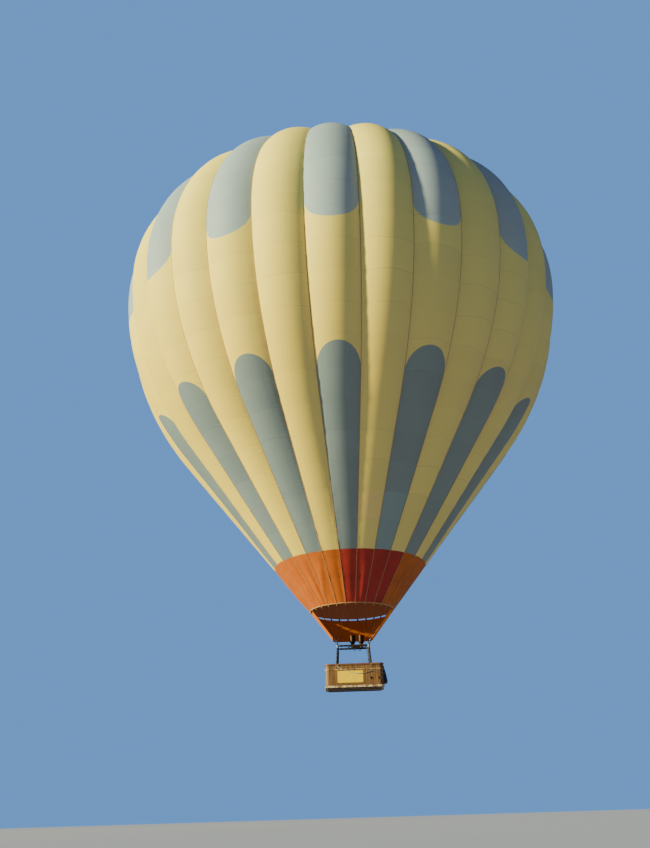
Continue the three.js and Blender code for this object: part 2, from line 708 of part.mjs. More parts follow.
// The bag's side view, as [reach out from the wall, height below the rim].
const bagSide = [
  [0, 0],
  [26, 0],
  [120, -330],
  [185, -690],
  [180, -780],
  [140, -820],
  [0, -820],
];
const BAG_Y0 = -420;
const BAG_W = 480;
const bagShape = new THREE.Shape(bagSide.map(([x, z]) => new THREE.Vector2(x, z)));
const bagSolid = new THREE.ExtrudeGeometry(bagShape, { depth: BAG_W, bevelEnabled: false });
const bagPlace = point(BASKET_X + GAP, BAG_Y0 + BAG_W, RIM_TOP_Z - RIM_H - GAP);
add('line_bag', bagSolid.rotateX(Math.PI / 2), finish.bag(), bagPlace);

// A handling line along the front: from the left upright's foot, tied at the right one's, round to the bag.
const LINE_R = 12;
const LINE_OUT = 22;
const lineY = -BASKET_Y - LINE_OUT;
const cornerTurn = BASKET_CORNER + LINE_OUT;
const roundCorner = (degrees, z) => {
  const a = radians(degrees);
  const x = BASKET_X - BASKET_CORNER + cornerTurn * Math.sin(a);
  return point(x, -BASKET_Y + BASKET_CORNER - cornerTurn * Math.cos(a), z);
};
const lineRoute = [
  point(-790, lineY, -19431),
  point(-770, lineY, -19462),
  point(-690, lineY, -19520),
  point(-540, lineY, -19600),
  point(-380, lineY, -19672),
  point(-210, lineY, -19735),
  point(-50, lineY, -19782),
  point(110, lineY, -19810),
  point(300, lineY, -19812),
  point(500, lineY, -19790),
  point(690, lineY, -19752),
  point(845, lineY, -19720),
  point(1000, lineY, -19752),
  point(1120, lineY, -19780),
  roundCorner(0, -19797),
  roundCorner(30, -19812),
  roundCorner(60, -19822),
  roundCorner(90, -19826),
  point(BASKET_X + LINE_OUT, -520, -19824),
  point(BASKET_X + LINE_OUT, BAG_Y0 - 2 * GAP, -19820),
];
add('handling_line', tubeAlong(lineRoute, LINE_R, 36), finish.rope());

// Two fuel hoses, from the right-hand cylinders up beside the uprights to the right-hand gimbal block.
const HOSE_R = 8;
const hosePlan = [
  [CYLINDER_X, CYLINDER_Y, floorTop + VALVE_TOP + GAP],
  [CYLINDER_X, CYLINDER_Y, floorTop + VALVE_TOP + 24],
  [CYLINDER_X + 6, CYLINDER_Y + 2, floorTop + VALVE_TOP + 52],
  [250, 600, -19360],
  [360, 625, -19310],
  [500, 655, -19270],
  [620, 680, -19235],
  [692, 690, -19170],
  [706, 665, -19080],
  [700, 600, -18930],
  [690, 535, -18770],
  [676, 470, -18650],
  [660, 380, -18590],
  [646, 250, -18576],
  [634, 110, -18572],
  [627, 40, -18562],
  [625, 15, -18540],
  [625, 14, -18520],
  [625, 14, FRAME_Z - BLOCK_DROP - 2 * GAP],
];
for (const [name, side] of [['fuel_hose_front', -1], ['fuel_hose_back', 1]]) {
  const route = hosePlan.map(([x, y, z]) => point(x, side * y, z));
  add(name, tubeAlong(route, HOSE_R, 32), finish.rubber());
}

export default group;
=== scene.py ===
import math
from bisect import bisect_right
from functools import partial

import bpy
from mathutils import Matrix, Vector


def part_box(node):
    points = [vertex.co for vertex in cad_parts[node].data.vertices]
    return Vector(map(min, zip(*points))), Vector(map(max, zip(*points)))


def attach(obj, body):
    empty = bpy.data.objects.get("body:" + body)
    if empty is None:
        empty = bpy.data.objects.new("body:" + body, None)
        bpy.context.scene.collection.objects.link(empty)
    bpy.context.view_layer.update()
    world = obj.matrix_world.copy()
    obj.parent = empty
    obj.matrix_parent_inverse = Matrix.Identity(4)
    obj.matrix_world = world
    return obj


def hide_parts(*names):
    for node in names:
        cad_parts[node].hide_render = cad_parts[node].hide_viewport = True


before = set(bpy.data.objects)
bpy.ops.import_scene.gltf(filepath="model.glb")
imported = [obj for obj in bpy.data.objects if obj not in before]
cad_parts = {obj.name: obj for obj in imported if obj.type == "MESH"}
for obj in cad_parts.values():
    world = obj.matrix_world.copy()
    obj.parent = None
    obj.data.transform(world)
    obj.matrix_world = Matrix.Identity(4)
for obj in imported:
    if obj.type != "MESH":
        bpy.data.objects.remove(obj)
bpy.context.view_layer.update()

# Envelope, in metres. The origin is on its axis at the widest circle. Theta is measured from -Y towards +X.
GORES = 28
FIRST_SEAM = 5.395
EQUATOR_R = 11.55
CROWN_H, CROWN_POWER_R, CROWN_POWER_Z = 8.0, 2.7, 1.95
TAPER_H, TAPER_R = 16.9, 21.7
CONE_ANGLE = math.radians(38.6)
BAND_TOP_Z, MOUTH_Z = -14.55, -16.731
VENT_R = 2.6
SEAM_DEPTH, VENT_SEAM_DEPTH, MOUTH_SEAM_DEPTH = 0.038, 0.0005, 0.007
DEEP_SEAM_R, DEEP_SEAM_Z = 8.0, -8.0
LEVEL_PINCH, PUCKER = 0.007, 0.012
CLOTH, FABRIC, GAP = 0.005, 0.01, 0.0003

# One soft fold in each gore of the band: its place at the top, its slant to the mouth, how proud it stands
BAND_FOLDS = ((0.2, 0.0, 0.045), (0.9, -2.2, 0.035), (0.5, 0.3, -0.015), (0.85, 0.0, -0.036))

# Panels of cloth in a gore, the grids that the cloths are made on, and a gore's usual width
PANELS, SPLIT_PANEL, PANEL_ROWS = 21, 10, 5
GORE_COLUMNS, BAND_ROWS, BAND_COLUMNS = 14, 18, 12
CLOTH_ROWS, LOBE_COLUMNS, MOUTH_COLUMNS = 24, 6, 10
GORE_W = 2.7

# Where the grey-blue patches end at a gore's middle, how far they curve to its seams, and how roundly
UPPER_PATCH_Z, UPPER_PATCH_RISE = -1.6, 1.2
LOWER_PATCH_Z, LOWER_PATCH_FALL = -6.82, 1.0
PATCH_POWER = 2.0

# Load tapes, vent and valve
TAPE_W, TAPE_LOW, TAPE_HIGH = 0.022, 0.006, 0.016
MOUTH_TAPE_H, MOUTH_TAPE_T = 0.032, 0.004
CROWN_RING_R, CROWN_RING_BAR = 0.33, 0.012
CROWN_TAPE_W, CROWN_TAPE_T = 0.06, 0.008
VALVE_R, VALVE_CLEAR, VALVE_LOBE, VALVE_SAG = 2.95, 0.012, 0.036, 0.02

# Rigging and scoop
WIRE_R = 0.004
STUB_W, STUB_T, STUB_SHARE = 0.034, 0.01, 0.05
SHACKLE_Z, SHACKLE_R, SHACKLE_H = -18.332, 0.03, 0.034
SCOOP_FROM, SCOOP_DROP, SCOOP_BOTTOM_Z = 72.0, 0.095, -18.08
SCOOP_IN_TOP, SCOOP_IN_FOOT, SCOOP_BULGE = 0.0009, 0.012, 0.02
SCOOP_OUT, SCOOP_COLUMNS = 1.325 * FABRIC, 8
FIRST_TAB, LAST_TAB, TAB_W, TAB_T = 6, 21, 0.085, 0.0145

# Load frame, uprights and burner
FRAME_X, FRAME_Y, FRAME_Z = 0.745, 0.46, -18.46
FRAME_PAD_R, UPRIGHT_R, PAD_SWELL = 0.04, 0.045, 1.18
STRAP_EVERY, STRAP_HALF = 0.22, 0.0125
CORNER_ARM, CORNER_ARM_R = 0.072, 0.025
CORNER_BOSS_R, CORNER_DROP, CORNER_RISE = 0.05, 0.1, 0.046
LUG_W, LUG_T, LUG_H = 0.06, 0.016, 0.084
FOOT_X, FOOT_Y = 0.8, 0.755
BURNER_X = 0.19
RING_X, RING_Y, RING_BAR = 0.39, 0.23, 0.03
RAIL_W, RAIL_GAP = 0.04, 0.025
BLOCK, BLOCK_DROP, PIN_R, PIN_PLAY = 0.03, 0.04, 0.012, 0.0006
CAN_X, CAN_R, CAN_WALL = 0.21, 0.145, 0.018
CAN_BOTTOM_Z, CAN_TOP_Z = -18.22, -17.91

# Basket
BASKET_X, BASKET_Y, BASKET_CORNER = 1.37, 0.8, 0.18
BASKET_BOTTOM_Z, RIM_TOP_Z = -20.43, -19.34
RIM_H, RIM_OUT, LACES = 0.09, 0.026, 70
WALL_POINTS, PLAITS = 280, 70
WALL, FLOOR_T = 0.038, 0.018
BASE_BAND_H, BASE_BAND_T = 0.11, 0.006
FOOTHOLD_W, FOOTHOLD_H, FOOTHOLD_Z = 0.13, 0.08, 0.35
FOOTHOLD_X, FOOTHOLD_BINDING = (0.8, 1.18), 0.014
PARTITION_X, PARTITION_T, PARTITION_TOP_Z = 0.38, 0.04, -19.43
CYLINDER_X, CYLINDER_Y = 0.2, 0.585
BANNER_X, BANNER_Z = (-0.78, 0.4), (0.22, 0.74)
BANNER_ROWS, BANNER_COLUMNS = 18, 42
EYELET_R, EYELET_T, EYELET_IN = 0.009, 0.0028, 0.02
BAG_Y, BAG_RINGS = (-0.42, 0.06), 32
LINE_OUT, LINE_D, LINE_LAY, HOSE_D = 0.022, 0.024, 0.075, 0.016
FLOOR_TOP = BASKET_BOTTOM_Z + FLOOR_T + GAP

# Woven willow: the spacing of its stakes, the height of a row of weavers, and the depth of its relief
STAKE, WEAVER, WEAVE_DEPTH = 0.12, 0.025, 0.009

# Camera at floor level, as the photograph was taken. The picture is 650 by 848 pixels.
CAMERA_AT = Vector((0.0, -46.5, -26.06))
CAMERA_PITCH, CAMERA_YAW, CAMERA_ROLL = (math.radians(turn) for turn in (22.541, -1.276, -1.736))
FOCAL_PIXELS, PICTURE_H, SENSOR_H = 950, 848, 24.0
FLOOR_Z, FLOOR_SIZE = -26.2, 900

# The key light's direction, and the strengths of the light
KEY_THETA, KEY_HEIGHT, KEY_ANGLE = -68, math.radians(18), math.radians(4)
KEY_STRENGTH, SKY_LIGHT, SKY_SEEN = 10.9, 0.3, 0.95

UP = Vector((0, 0, 1))
CORNERS = (("front_right", 1, -1), ("back_right", 1, 1), ("back_left", -1, 1), ("front_left", -1, -1))
SIDES = (("left", -1), ("right", 1))


# Small tools

def lerp(a, b, t):
    return a + (b - a) * t


def clamp(value, low=0.0, high=1.0):
    return max(low, min(high, value))


def smooth(t):
    t = clamp(t)
    return t * t * (3 - 2 * t)


def dip(distance, width):
    """A bell that is 1 at its middle and fades over its width."""
    return math.exp(-(distance / width) ** 2)


def moved(point, x=0.0, y=0.0, z=0.0):
    return Vector(point) + Vector((x, y, z))


def outwards(theta):
    return Vector((math.sin(math.radians(theta)), -math.cos(math.radians(theta)), 0))


def choose(*objs):
    """Leaves only these objects selected, with the first one active."""
    if bpy.context.object and bpy.context.object.mode != "OBJECT":
        bpy.ops.object.mode_set(mode="OBJECT")
    bpy.ops.object.select_all(action="DESELECT")
    for obj in reversed(objs):
        obj.select_set(True)
        bpy.context.view_layer.objects.active = obj


def edit(obj):
    """Opens the object in edit mode with all of it selected."""
    choose(obj)
    bpy.ops.object.mode_set(mode="EDIT")
    bpy.ops.mesh.select_all(action="SELECT")


def settle(obj):
    """Puts the object's place, turn and size into its mesh."""
    choose(obj)
    bpy.ops.object.transform_apply(location=True, rotation=True, scale=True)
    return obj


def recalculate(obj):
    """Merges doubled points and turns every face outwards."""
    edit(obj)
    bpy.ops.mesh.remove_doubles(threshold=0.00002)
    bpy.ops.mesh.normals_make_consistent(inside=False)
    bpy.ops.object.mode_set(mode="OBJECT")
    return obj


def dress(obj, *materials):
    obj.data.materials.clear()
    for material in materials:
        obj.data.materials.append(material)
    return obj


def from_mesh(points, faces, *materials):
    mesh = bpy.data.meshes.new("part")
    mesh.from_pydata(points, [], faces)
    obj = bpy.data.objects.new("part", mesh)
    bpy.context.scene.collection.objects.link(obj)
    return dress(obj, *materials)


def set_out(obj, points, turns=()):
    """The part at the first of these points, and a copy with its own mesh at each other one. Each may be
    turned by so many degrees about the vertical."""
    parts = [obj]
    for _ in points[1:]:
        copy = obj.copy()
        copy.data = obj.data.copy()
        bpy.context.scene.collection.objects.link(copy)
        parts.append(copy)
    for part, point, turn in zip(parts, points, turns or [0] * len(points)):
        part.data.transform(Matrix.Translation(point) @ Matrix.Rotation(math.radians(turn), 4, "Z"))
    return parts


def finish(name, parts, replaces=(), body="root", angle=30):
    """Joins the parts into one smoothed piece, hangs it on its body, and hides the parts that it replaces."""
    choose(*parts)
    if len(parts) > 1:
        bpy.ops.object.join()
    obj = parts[0]
    obj.name = obj.data.name = name
    bpy.ops.object.shade_smooth_by_angle(angle=math.radians(angle))
    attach(obj, body)
    if replaces:
        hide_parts(*replaces)
    return obj


# Shapes that the pieces are made from

def block(material, centre, half, bevel):
    """A cube about its centre, half as wide each way as is given, with its edges bevelled."""
    choose()
    bpy.ops.mesh.primitive_cube_add(size=2, location=centre)
    obj = bpy.context.object
    obj.scale = half
    edit(settle(obj))
    bpy.ops.mesh.bevel(offset=bevel, segments=2, affect="EDGES")
    bpy.ops.object.mode_set(mode="OBJECT")
    return dress(obj, material)


def turned(material, at, rings, sides=48):
    """A disc raised ring by ring on a vertical axis. A ring is its radius and its height over the point."""
    choose()
    radius, height = rings[0]
    place = moved(at, z=height)
    bpy.ops.mesh.primitive_circle_add(vertices=sides, radius=radius, fill_type="NGON", location=place)
    obj = settle(bpy.context.object)
    edit(obj)
    for wide, high in rings[1:]:
        bpy.ops.mesh.extrude_region_move(TRANSFORM_OT_translate={"value": (0, 0, high - height)})
        grow = wide / radius
        bpy.ops.transform.resize(value=(grow, grow, 1), center_override=moved(at, z=high))
        radius, height = wide, high
    return dress(recalculate(obj), material)


def rod(material, start, end, radius, sides=16, round_end=0.25):
    """A round bar between two points, its ends eased by a share of its radius."""
    along = Vector(end) - Vector(start)
    ease = radius * round_end
    rings = [(radius - ease, 0), (radius, ease), (radius, along.length - ease), (radius - ease, along.length)]
    obj = turned(material, (0, 0, 0), rings, sides)
    obj.data.transform(Matrix.Translation(start) @ along.to_track_quat("Z", "Y").to_matrix().to_4x4())
    return obj


def skin(material, rings, closed=False):
    """A surface over rings of points. Its ends are capped unless the rings close on themselves."""
    size, count = len(rings[0]), len(rings)
    faces = []
    for i in range(count if closed else count - 1):
        a, b = i * size, (i + 1) % count * size
        faces += [(a + j, a + (j + 1) % size, b + (j + 1) % size, b + j) for j in range(size)]
    if not closed:
        faces += [tuple(reversed(range(size))), tuple(range((count - 1) * size, count * size))]
    return recalculate(from_mesh([point for ring in rings for point in ring], faces, material))


def strip_ring(low, high, aside):
    """A strip's flat section, from the middles of its two faces and half its width."""
    return [low - aside, low + aside, high + aside, high - aside]


def section_of(sides, reach, offset=0.0):
    """A closed section of so many sides. Its reach from the middle is a function of the turn."""
    turns = [2 * math.pi * (j + offset) / sides for j in range(sides)]
    return [(reach(turn) * math.cos(turn), reach(turn) * math.sin(turn)) for turn in turns]


def circle(radius, sides=10):
    return section_of(sides, lambda turn: radius)


def rounded_box(half_w, half_h, sides=24, power=4.0, offset=0.5):
    """A section between a circle and a rectangle."""
    def reach(turn):
        return (abs(math.cos(turn)) ** power + abs(math.sin(turn)) ** power) ** (-1 / power)

    return [(half_w * a, half_h * b) for a, b in section_of(sides, reach, offset)]


def sweep(material, path, section, up=UP, closed=False):
    """Skins a section along a path: a list of pairs, or a function of the distance that gives one."""
    rings = []
    travelled = 0.0
    for i, here in enumerate(path):
        before = path[i - 1] if i or closed else here
        after = path[(i + 1) % len(path)] if i < len(path) - 1 or closed else here
        ahead = (after - before).normalized()
        up = (up - ahead * up.dot(ahead)).normalized()
        across = ahead.cross(up)
        if i:
            travelled += (here - path[i - 1]).length
        pairs = section(travelled) if callable(section) else section
        rings.append([here + across * a + up * b for a, b in pairs])
    return skin(material, rings, closed)


def length_of(points):
    return sum((b - a).length for a, b in zip(points, points[1:]))


def spaced(points, spacing):
    """Evenly spaced points along a line of points."""
    steps = [(b - a).length for a, b in zip(points, points[1:])]
    count = max(1, round(sum(steps) / spacing))
    step = sum(steps) / count
    made = [points[0]]
    done, i = 0.0, 0
    for k in range(1, count):
        while done + steps[i] < k * step:
            done += steps[i]
            i += 1
        made.append(points[i].lerp(points[i + 1], (k * step - done) / steps[i]))
    return made + [points[-1]]


def route_curve(points, spacing):
    """A centripetal Catmull-Rom curve through the points of a route."""
    points = [Vector(p) for p in points]
    whole = [2 * points[0] - points[1], *points, 2 * points[-1] - points[-2]]
    dense = []
    for p0, p1, p2, p3 in zip(whole, whole[1:], whole[2:], whole[3:]):
        t1 = math.sqrt((p1 - p0).length)
        t2 = t1 + math.sqrt((p2 - p1).length)
        t3 = t2 + math.sqrt((p3 - p2).length)
        for k in range(24):
            t = lerp(t1, t2, k / 24)
            middle = p1.lerp(p2, (t - t1) / (t2 - t1))
            before = p0.lerp(p1, t / t1).lerp(middle, t / t2)
            after = middle.lerp(p2.lerp(p3, (t - t2) / (t3 - t2)), (t - t1) / (t3 - t1))
            dense.append(before.lerp(after, (t - t1) / (t2 - t1)))
    return spaced([*dense, points[-1]], spacing)


def grid_faces(rows, columns):
    """The faces of a grid of points, row after row."""
    corners = [i * columns + j for i in range(rows - 1) for j in range(columns - 1)]
    return [(a, a + columns, a + columns + 1, a + 1) for a in corners]


def lay_map(obj, name, corners):
    """A UV map from a place for each corner of each face, in their order."""
    layer = obj.data.uv_layers.new(name=name)
    layer.data.foreach_set("uv", [value for corner in corners for value in corner])


def thicken(obj, thickness, offset=-1.0, inner=0):
    """Gives a sheet its thickness, its inner face with the material that is so many places on."""
    choose(obj)
    modifier = obj.modifiers.new("Thickness", "SOLIDIFY")
    modifier.thickness = thickness
    modifier.offset = offset
    modifier.material_offset = inner
    bpy.ops.object.modifier_apply(modifier=modifier.name)
    return obj


def cloth_grid(material, grid, thickness, offset=-1.0):
    """A sheet over rows of points, with its own lengths in metres as its UV map, given its thickness."""
    columns = len(grid[0])
    faces = grid_faces(len(grid), columns)
    obj = from_mesh([point for row in grid for point in row], faces, material)
    middle = grid[len(grid) // 2]
    left = [row[0] for row in grid]
    across = [length_of(middle[:j + 1]) for j in range(columns)]
    down = [length_of(left[:i + 1]) for i in range(len(grid))]
    lay_map(obj, "cloth", [(across[v % columns], down[v // columns]) for face in faces for v in face])
    return thicken(obj, thickness, offset)


# Materials

def colour(hex_value):
    """An sRGB hex colour as linear red, green, blue and alpha."""
    parts = [int(hex_value[i:i + 2], 16) / 255 for i in (1, 3, 5)]
    return [p / 12.92 if p <= 0.04045 else ((p + 0.055) / 1.055) ** 2.4 for p in parts] + [1.0]


def add_node(tree, kind, *inputs, **settings):
    """Adds a node, or finds the shader that is there already, and fills its inputs, in order or by name.
    An input is a value, a hex colour, an output, or a node, which stands for its main output. A kind may
    end in its operation, and a Mix node mixes colours."""
    kind, _, operation = kind.partition(":")
    ready = kind in ("Principled BSDF", "Background")
    node = tree.nodes[kind] if ready else tree.nodes.new("ShaderNode" + kind)
    if operation:
        node.operation = operation
    if kind == "Mix":
        node.data_type = "RGBA"
    for key, value in settings.items():
        setattr(node, key, value)
    places = (0, 6, 7) if kind == "Mix" else range(len(inputs))
    named = inputs[0] if inputs and isinstance(inputs[0], dict) else dict(zip(places, inputs))
    for key, value in named.items():
        if isinstance(value, bpy.types.Node):
            value = value.outputs[2 if value.bl_idname == "ShaderNodeMix" else 0]
        if isinstance(value, bpy.types.NodeSocket):
            tree.links.new(value, node.inputs[key])
        else:
            node.inputs[key].default_value = colour(value) if isinstance(value, str) else value
    return node


def start(name):
    """A new material, the function that adds its nodes, and its Object coordinates."""
    material = bpy.data.materials.new(name)
    material.use_nodes = True
    add = partial(add_node, material.node_tree)
    return material, add, add("TexCoord").outputs["Object"]


def patches(add, place, tones, scale, detail, roughness=0.5, low=0.0, high=1.0):
    """Two tones of a finish in soft patches, with the range of the noise that shows."""
    marks = add("TexNoise", {"Vector": place, "Scale": scale, "Detail": detail, "Roughness": roughness})
    return add("Mix", add("MapRange", marks, low, high), *tones)


def relief(add, place, *layers):
    """Layers of relief, the finest first, each its noise's scale and detail, its depth and its strength."""
    under = {}
    for scale, detail, depth, strength in layers:
        grain = add("TexNoise", {"Vector": place, "Scale": scale, "Detail": detail})
        under = {"Normal": add("Bump", {"Height": grain, "Distance": depth, "Strength": strength, **under})}
    return under


def two_toned(name, tones, marks, layers, shader):
    """A finish in two tones: marks are what patches asks for, layers what relief asks for."""
    material, add, place = start(name)
    body = patches(add, place, tones, *marks)
    add("Principled BSDF", {"Base Color": body, **relief(add, place, *layers), **shader})
    return material


def gore_seams(add, across, along, seam_width):
    """1 in a pair's second gore, then 0 to 1 from a gore's middle to its seams, then 1 on its level seams."""
    second = add("Math:GREATER_THAN", across, 1.5)
    own = add("Math:MULTIPLY_ADD", second, -2.0, across)
    side = add("Math:ABSOLUTE", add("Math:MULTIPLY_ADD", own, 2.0, -1.0))
    from_middle = add("Math:ABSOLUTE", add("Math:SUBTRACT", add("Math:FRACT", along), 0.5))
    low, high = 0.5 - 2 * seam_width, 0.5 - seam_width
    return second, side, add("MapRange", from_middle, low, high, interpolation_type="SMOOTHSTEP")


def sewn_relief(add, cloth, side, seams):
    """Ripstop ribs, drawn at ten times their 4 mm so that they show, puckers by the seams, and the seams."""
    lengths = add("Mapping", {"Vector": cloth, "Scale": (GORE_W, PANEL_LENGTH, 1.0)})
    ribs = add("TexBrick", {"Vector": lengths, "Scale": 1.0, "Mortar Size": 0.0012, "Brick Width": 0.04,
                            "Row Height": 0.04}, offset=0.0)
    woven = add("Bump", {"Height": ribs.outputs["Fac"], "Distance": 0.001, "Strength": 0.25})
    drawn = add("Mapping", {"Vector": lengths, "Scale": (0.5, 8.0, 1.0)})
    folds = add("TexNoise", {"Vector": drawn, "Scale": 1.0, "Detail": 4.0, "Roughness": 0.6})
    puckers = add("Math:MULTIPLY", folds, add("MapRange", side, 0.55, 1.0, interpolation_type="SMOOTHSTEP"))
    gathered = add("Bump", {"Height": puckers, "Distance": 0.05, "Strength": 0.5, "Normal": woven})
    return add("Bump", {"Height": seams, "Distance": -0.005, "Strength": 0.4, "Normal": gathered})


def patched_gores(add, height, side, second):
    """1 inside a gore's two grey-blue patches, whose ends are round and reach furthest at its middle."""
    power = add("Math:POWER", side, PATCH_POWER)
    root = add("Math:POWER", add("Math:SUBTRACT", 1.0, power, use_clamp=True), 1 / PATCH_POWER)
    curve = add("Math:SUBTRACT", 1.0, root)
    over = add("Math:SUBTRACT", height, add("Math:MULTIPLY_ADD", curve, UPPER_PATCH_RISE, UPPER_PATCH_Z))
    under = add("Math:SUBTRACT", add("Math:MULTIPLY_ADD", curve, -LOWER_PATCH_FALL, LOWER_PATCH_Z), height)
    patch = add("MapRange", add("Math:MAXIMUM", over, under), -0.012, 0.012)
    return add("Math:MULTIPLY", add("Math:SUBTRACT", 1.0, second), patch)


def envelope_cloth():
    # Polyurethane-coated ripstop nylon, woven and sewn in level panels: a soft, even face that shows every
    # fold. A painted glow, bluish on the yellow and warm on the grey-blue, lifts and greys its shaded side.
    material, add, place = start("ripstop_nylon_coated")
    cloth = add("UVMap", uv_map="cloth")
    across, along = add("SeparateXYZ", cloth).outputs[:2]
    sag = add("MapRange", add("TexNoise", {"Vector": place, "Scale": 0.7}), 0.0, 1.0, -0.09, 0.09)
    along = add("Math:ADD", along, sag)
    row = add("Math:FLOOR", along)
    gore = add("SeparateXYZ", add("UVMap", uv_map="panel")).outputs[0]
    second, side, seams = gore_seams(add, across, along, 0.008)
    height = add("SeparateXYZ", place).outputs[2]
    patched = patched_gores(add, height, side, second)

    wear = add("TexNoise", {"Vector": place, "Scale": 0.5, "Detail": 4.0})
    # Painted shade: the yellow turns darker and deeper towards the bottom, and the painted glow grows
    # stronger there.
    downwards = add("MapRange", height, 2.0, -7.0, 0.0, 0.8)
    yellow = add("Mix", downwards, add("Mix", wear, "#e6d75a", "#ebdf6e"), "#dabf26")
    upper_blue = add("Mix", wear, "#8a9fa5", "#96aaaf")
    lower_blue = add("Mix", wear, "#67787a", "#718283")
    blue = add("Mix", add("Math:LESS_THAN", height, LOWER_PATCH_Z), upper_blue, lower_blue)
    low_row = add("Math:COMPARE", row, PANELS - 2.0, 0.25)
    last_rows = add("Math:COMPARE", row, PANELS - 1.5, 0.75)
    renewed = add("Math:MULTIPLY", add("Math:COMPARE", gore, 0.0, 0.25), low_row)
    changed = add("Math:MULTIPLY", add("Math:COMPARE", gore, 1.0, 0.25), last_rows)
    yellow = add("Mix", renewed, yellow, "#e6c646")
    body = add("Mix", patched, yellow, add("Mix", changed, blue, "#70888a"))

    chance = add("TexWhiteNoise", {"Vector": add("CombineXYZ", gore, row)}, noise_dimensions="3D")
    # A random tone for each panel, and the level seams darkened: partly a stitched line, partly a painted
    # shadow of their puckers.
    sewn = add("Math:MULTIPLY", seams, add("MapRange", chance, 0.55, 1.0, 0.03, 0.24))
    panel_tone_and_seam_shadow = add("Math:SUBTRACT", add("MapRange", chance, 0.0, 1.0, 0.955, 1.03), sewn)
    body = add("Mix", 1.0, body, panel_tone_and_seam_shadow, blend_type="MULTIPLY")
    body = add("Mix", add("MapRange", side, 0.965, 1.0, 0.0, 0.3), body, "#a0946a")
    # Painted glow: an emission that lifts the shaded side, bluer towards the bottom.
    painted_glow = add("Mix", patched, add("Mix", downwards, "#404c98", "#4a5ccc"), "#80706c")
    add("Principled BSDF", {"Base Color": body, "Roughness": 0.68, "Specular IOR Level": 0.2,
                            "Normal": sewn_relief(add, cloth, side, seams), "Emission Color": painted_glow,
                            "Emission Strength": 0.1})
    return material


def band_cloth(name, base, worn, line):
    # Heat-proof aramid cloth: matt and closely woven, with handling marks. A faint painted blue-grey glow
    # lifts its shaded side.
    material, add, place = start(name)
    cloth = add("UVMap", uv_map="cloth")
    side, seams = gore_seams(add, *add("SeparateXYZ", cloth).outputs[:2], 0.01)[1:]
    body = patches(add, place, (base, worn), 1.3, 5.0, 0.6, 0.35, 0.75)
    edges = add("MapRange", side, 0.93, 1.0, 0.0, 0.3)
    body = add("Mix", add("Math:MAXIMUM", edges, add("Math:MULTIPLY", seams, 0.12)), body, line)
    sewn = sewn_relief(add, cloth, side, seams)
    add("Principled BSDF", {"Base Color": body, **ARAMID_SHEEN, "Normal": sewn,
                            "Emission Color": "#3c3c5c", "Emission Strength": 0.08})
    return material


def metal(name, base, dull, rough, grain=(1.0, 1.0, 1.0)):
    """A metal with fine scratches along its grain, and a duller film where it is handled and heated."""
    material, add, place = start(name)
    film = add("TexNoise", {"Vector": place, "Scale": 9.0, "Detail": 5.0, "Roughness": 0.6})
    body = add("Mix", add("MapRange", film, 0.35, 0.7), base, dull)
    gloss = add("MapRange", film, 0.0, 1.0, rough - 0.1, rough + 0.15)
    drawn = add("Mapping", {"Vector": place, "Scale": grain})
    scratches = relief(add, drawn, (120.0, 3.0, 0.0006, 0.3))
    add("Principled BSDF", {"Base Color": body, "Metallic": 1.0, "Roughness": gloss, **scratches})
    return material


def willow():
    # Buff willow, boiled in its bark, split and woven round upright stakes: satin brown that changes from rod
    # to rod, with painted shade darkening the hollows between them.
    material, add, place = start("woven_willow_buff")
    columns = add("Mapping", {"Vector": place, "Scale": (9.0, 9.0, 0.7)})
    body = patches(add, columns, ("#543a18", "#8a6630"), 1.0, 3.0, 0.7, 0.36, 0.62)
    rows = add("Mapping", {"Vector": place, "Scale": (1.5, 1.5, 45.0)})
    rods = add("TexNoise", {"Vector": rows, "Scale": 1.0, "Detail": 3.0, "Roughness": 0.7})
    body = add("Mix", add("MapRange", rods, 0.35, 0.7, 0.0, 0.7), body, "#70491e")
    # Painted shade: near black where the weave is hollow between its rods.
    body = add("Mix", add("Attribute", attribute_name="hollow").outputs["Fac"], body, "#2c1709")
    add("Principled BSDF", {"Base Color": body, "Roughness": 0.55, "Coat Weight": 0.08,
                            **relief(add, place, BARK_GRAIN)})
    return material


def leather(name, base, worn, rough):
    # Hide, drum-dyed and waxed: fine pores and creases, paler where hands and boots have rubbed it.
    material, add, place = start(name)
    body = patches(add, place, (base, worn), 8.0, 6.0, 0.65, 0.4, 0.75)
    pores = add("TexVoronoi", {"Vector": place, "Scale": 180.0})
    grained = add("Bump", {"Height": pores, "Distance": 0.0012, "Strength": 0.35})
    creases = add("TexNoise", {"Vector": place, "Scale": 22.0, "Detail": 4.0})
    creased = add("Bump", {"Height": creases, "Distance": 0.004, "Strength": 0.4, "Normal": grained})
    add("Principled BSDF", {"Base Color": body, "Roughness": rough, "Coat Weight": 0.06, "Normal": creased})
    return material


def plywood():
    # Phenolic-faced birch plywood: dark brown film over a faint long grain, scuffed dull by boots.
    material, add, place = start("birch_plywood_phenolic")
    along = add("Mapping", {"Vector": place, "Scale": (1.2, 14.0, 14.0)})
    figure = add("TexNoise", {"Vector": along, "Scale": 2.0, "Detail": 6.0, "Distortion": 0.8})
    scuffs = add("TexNoise", {"Vector": place, "Scale": 11.0, "Detail": 5.0})
    grained = add("Bump", {"Height": figure, "Distance": 0.001, "Strength": 0.4})
    add("Principled BSDF", {"Base Color": add("Mix", figure, "#3a2a1a", "#574028"), "Normal": grained,
                            "Roughness": add("MapRange", scuffs, 0.0, 1.0, 0.4, 0.75)})
    return material


def banner_vinyl():
    # Vinyl-coated polyester, printed one even yellow: a low plastic shine over a fine square weave.
    material, add, place = start("vinyl_coated_banner")
    body = patches(add, place, ("#f0cc00", "#e2be00"), 3.0, 4.0)
    weave = add("TexChecker", {"Vector": add("UVMap", uv_map="cloth"), "Scale": 500.0})
    woven = add("Bump", {"Height": weave.outputs["Fac"], "Distance": 0.0003, "Strength": 0.3})
    add("Principled BSDF", {"Base Color": body, "Roughness": 0.6, "Specular IOR Level": 0.06,
                            "Normal": woven})
    return material


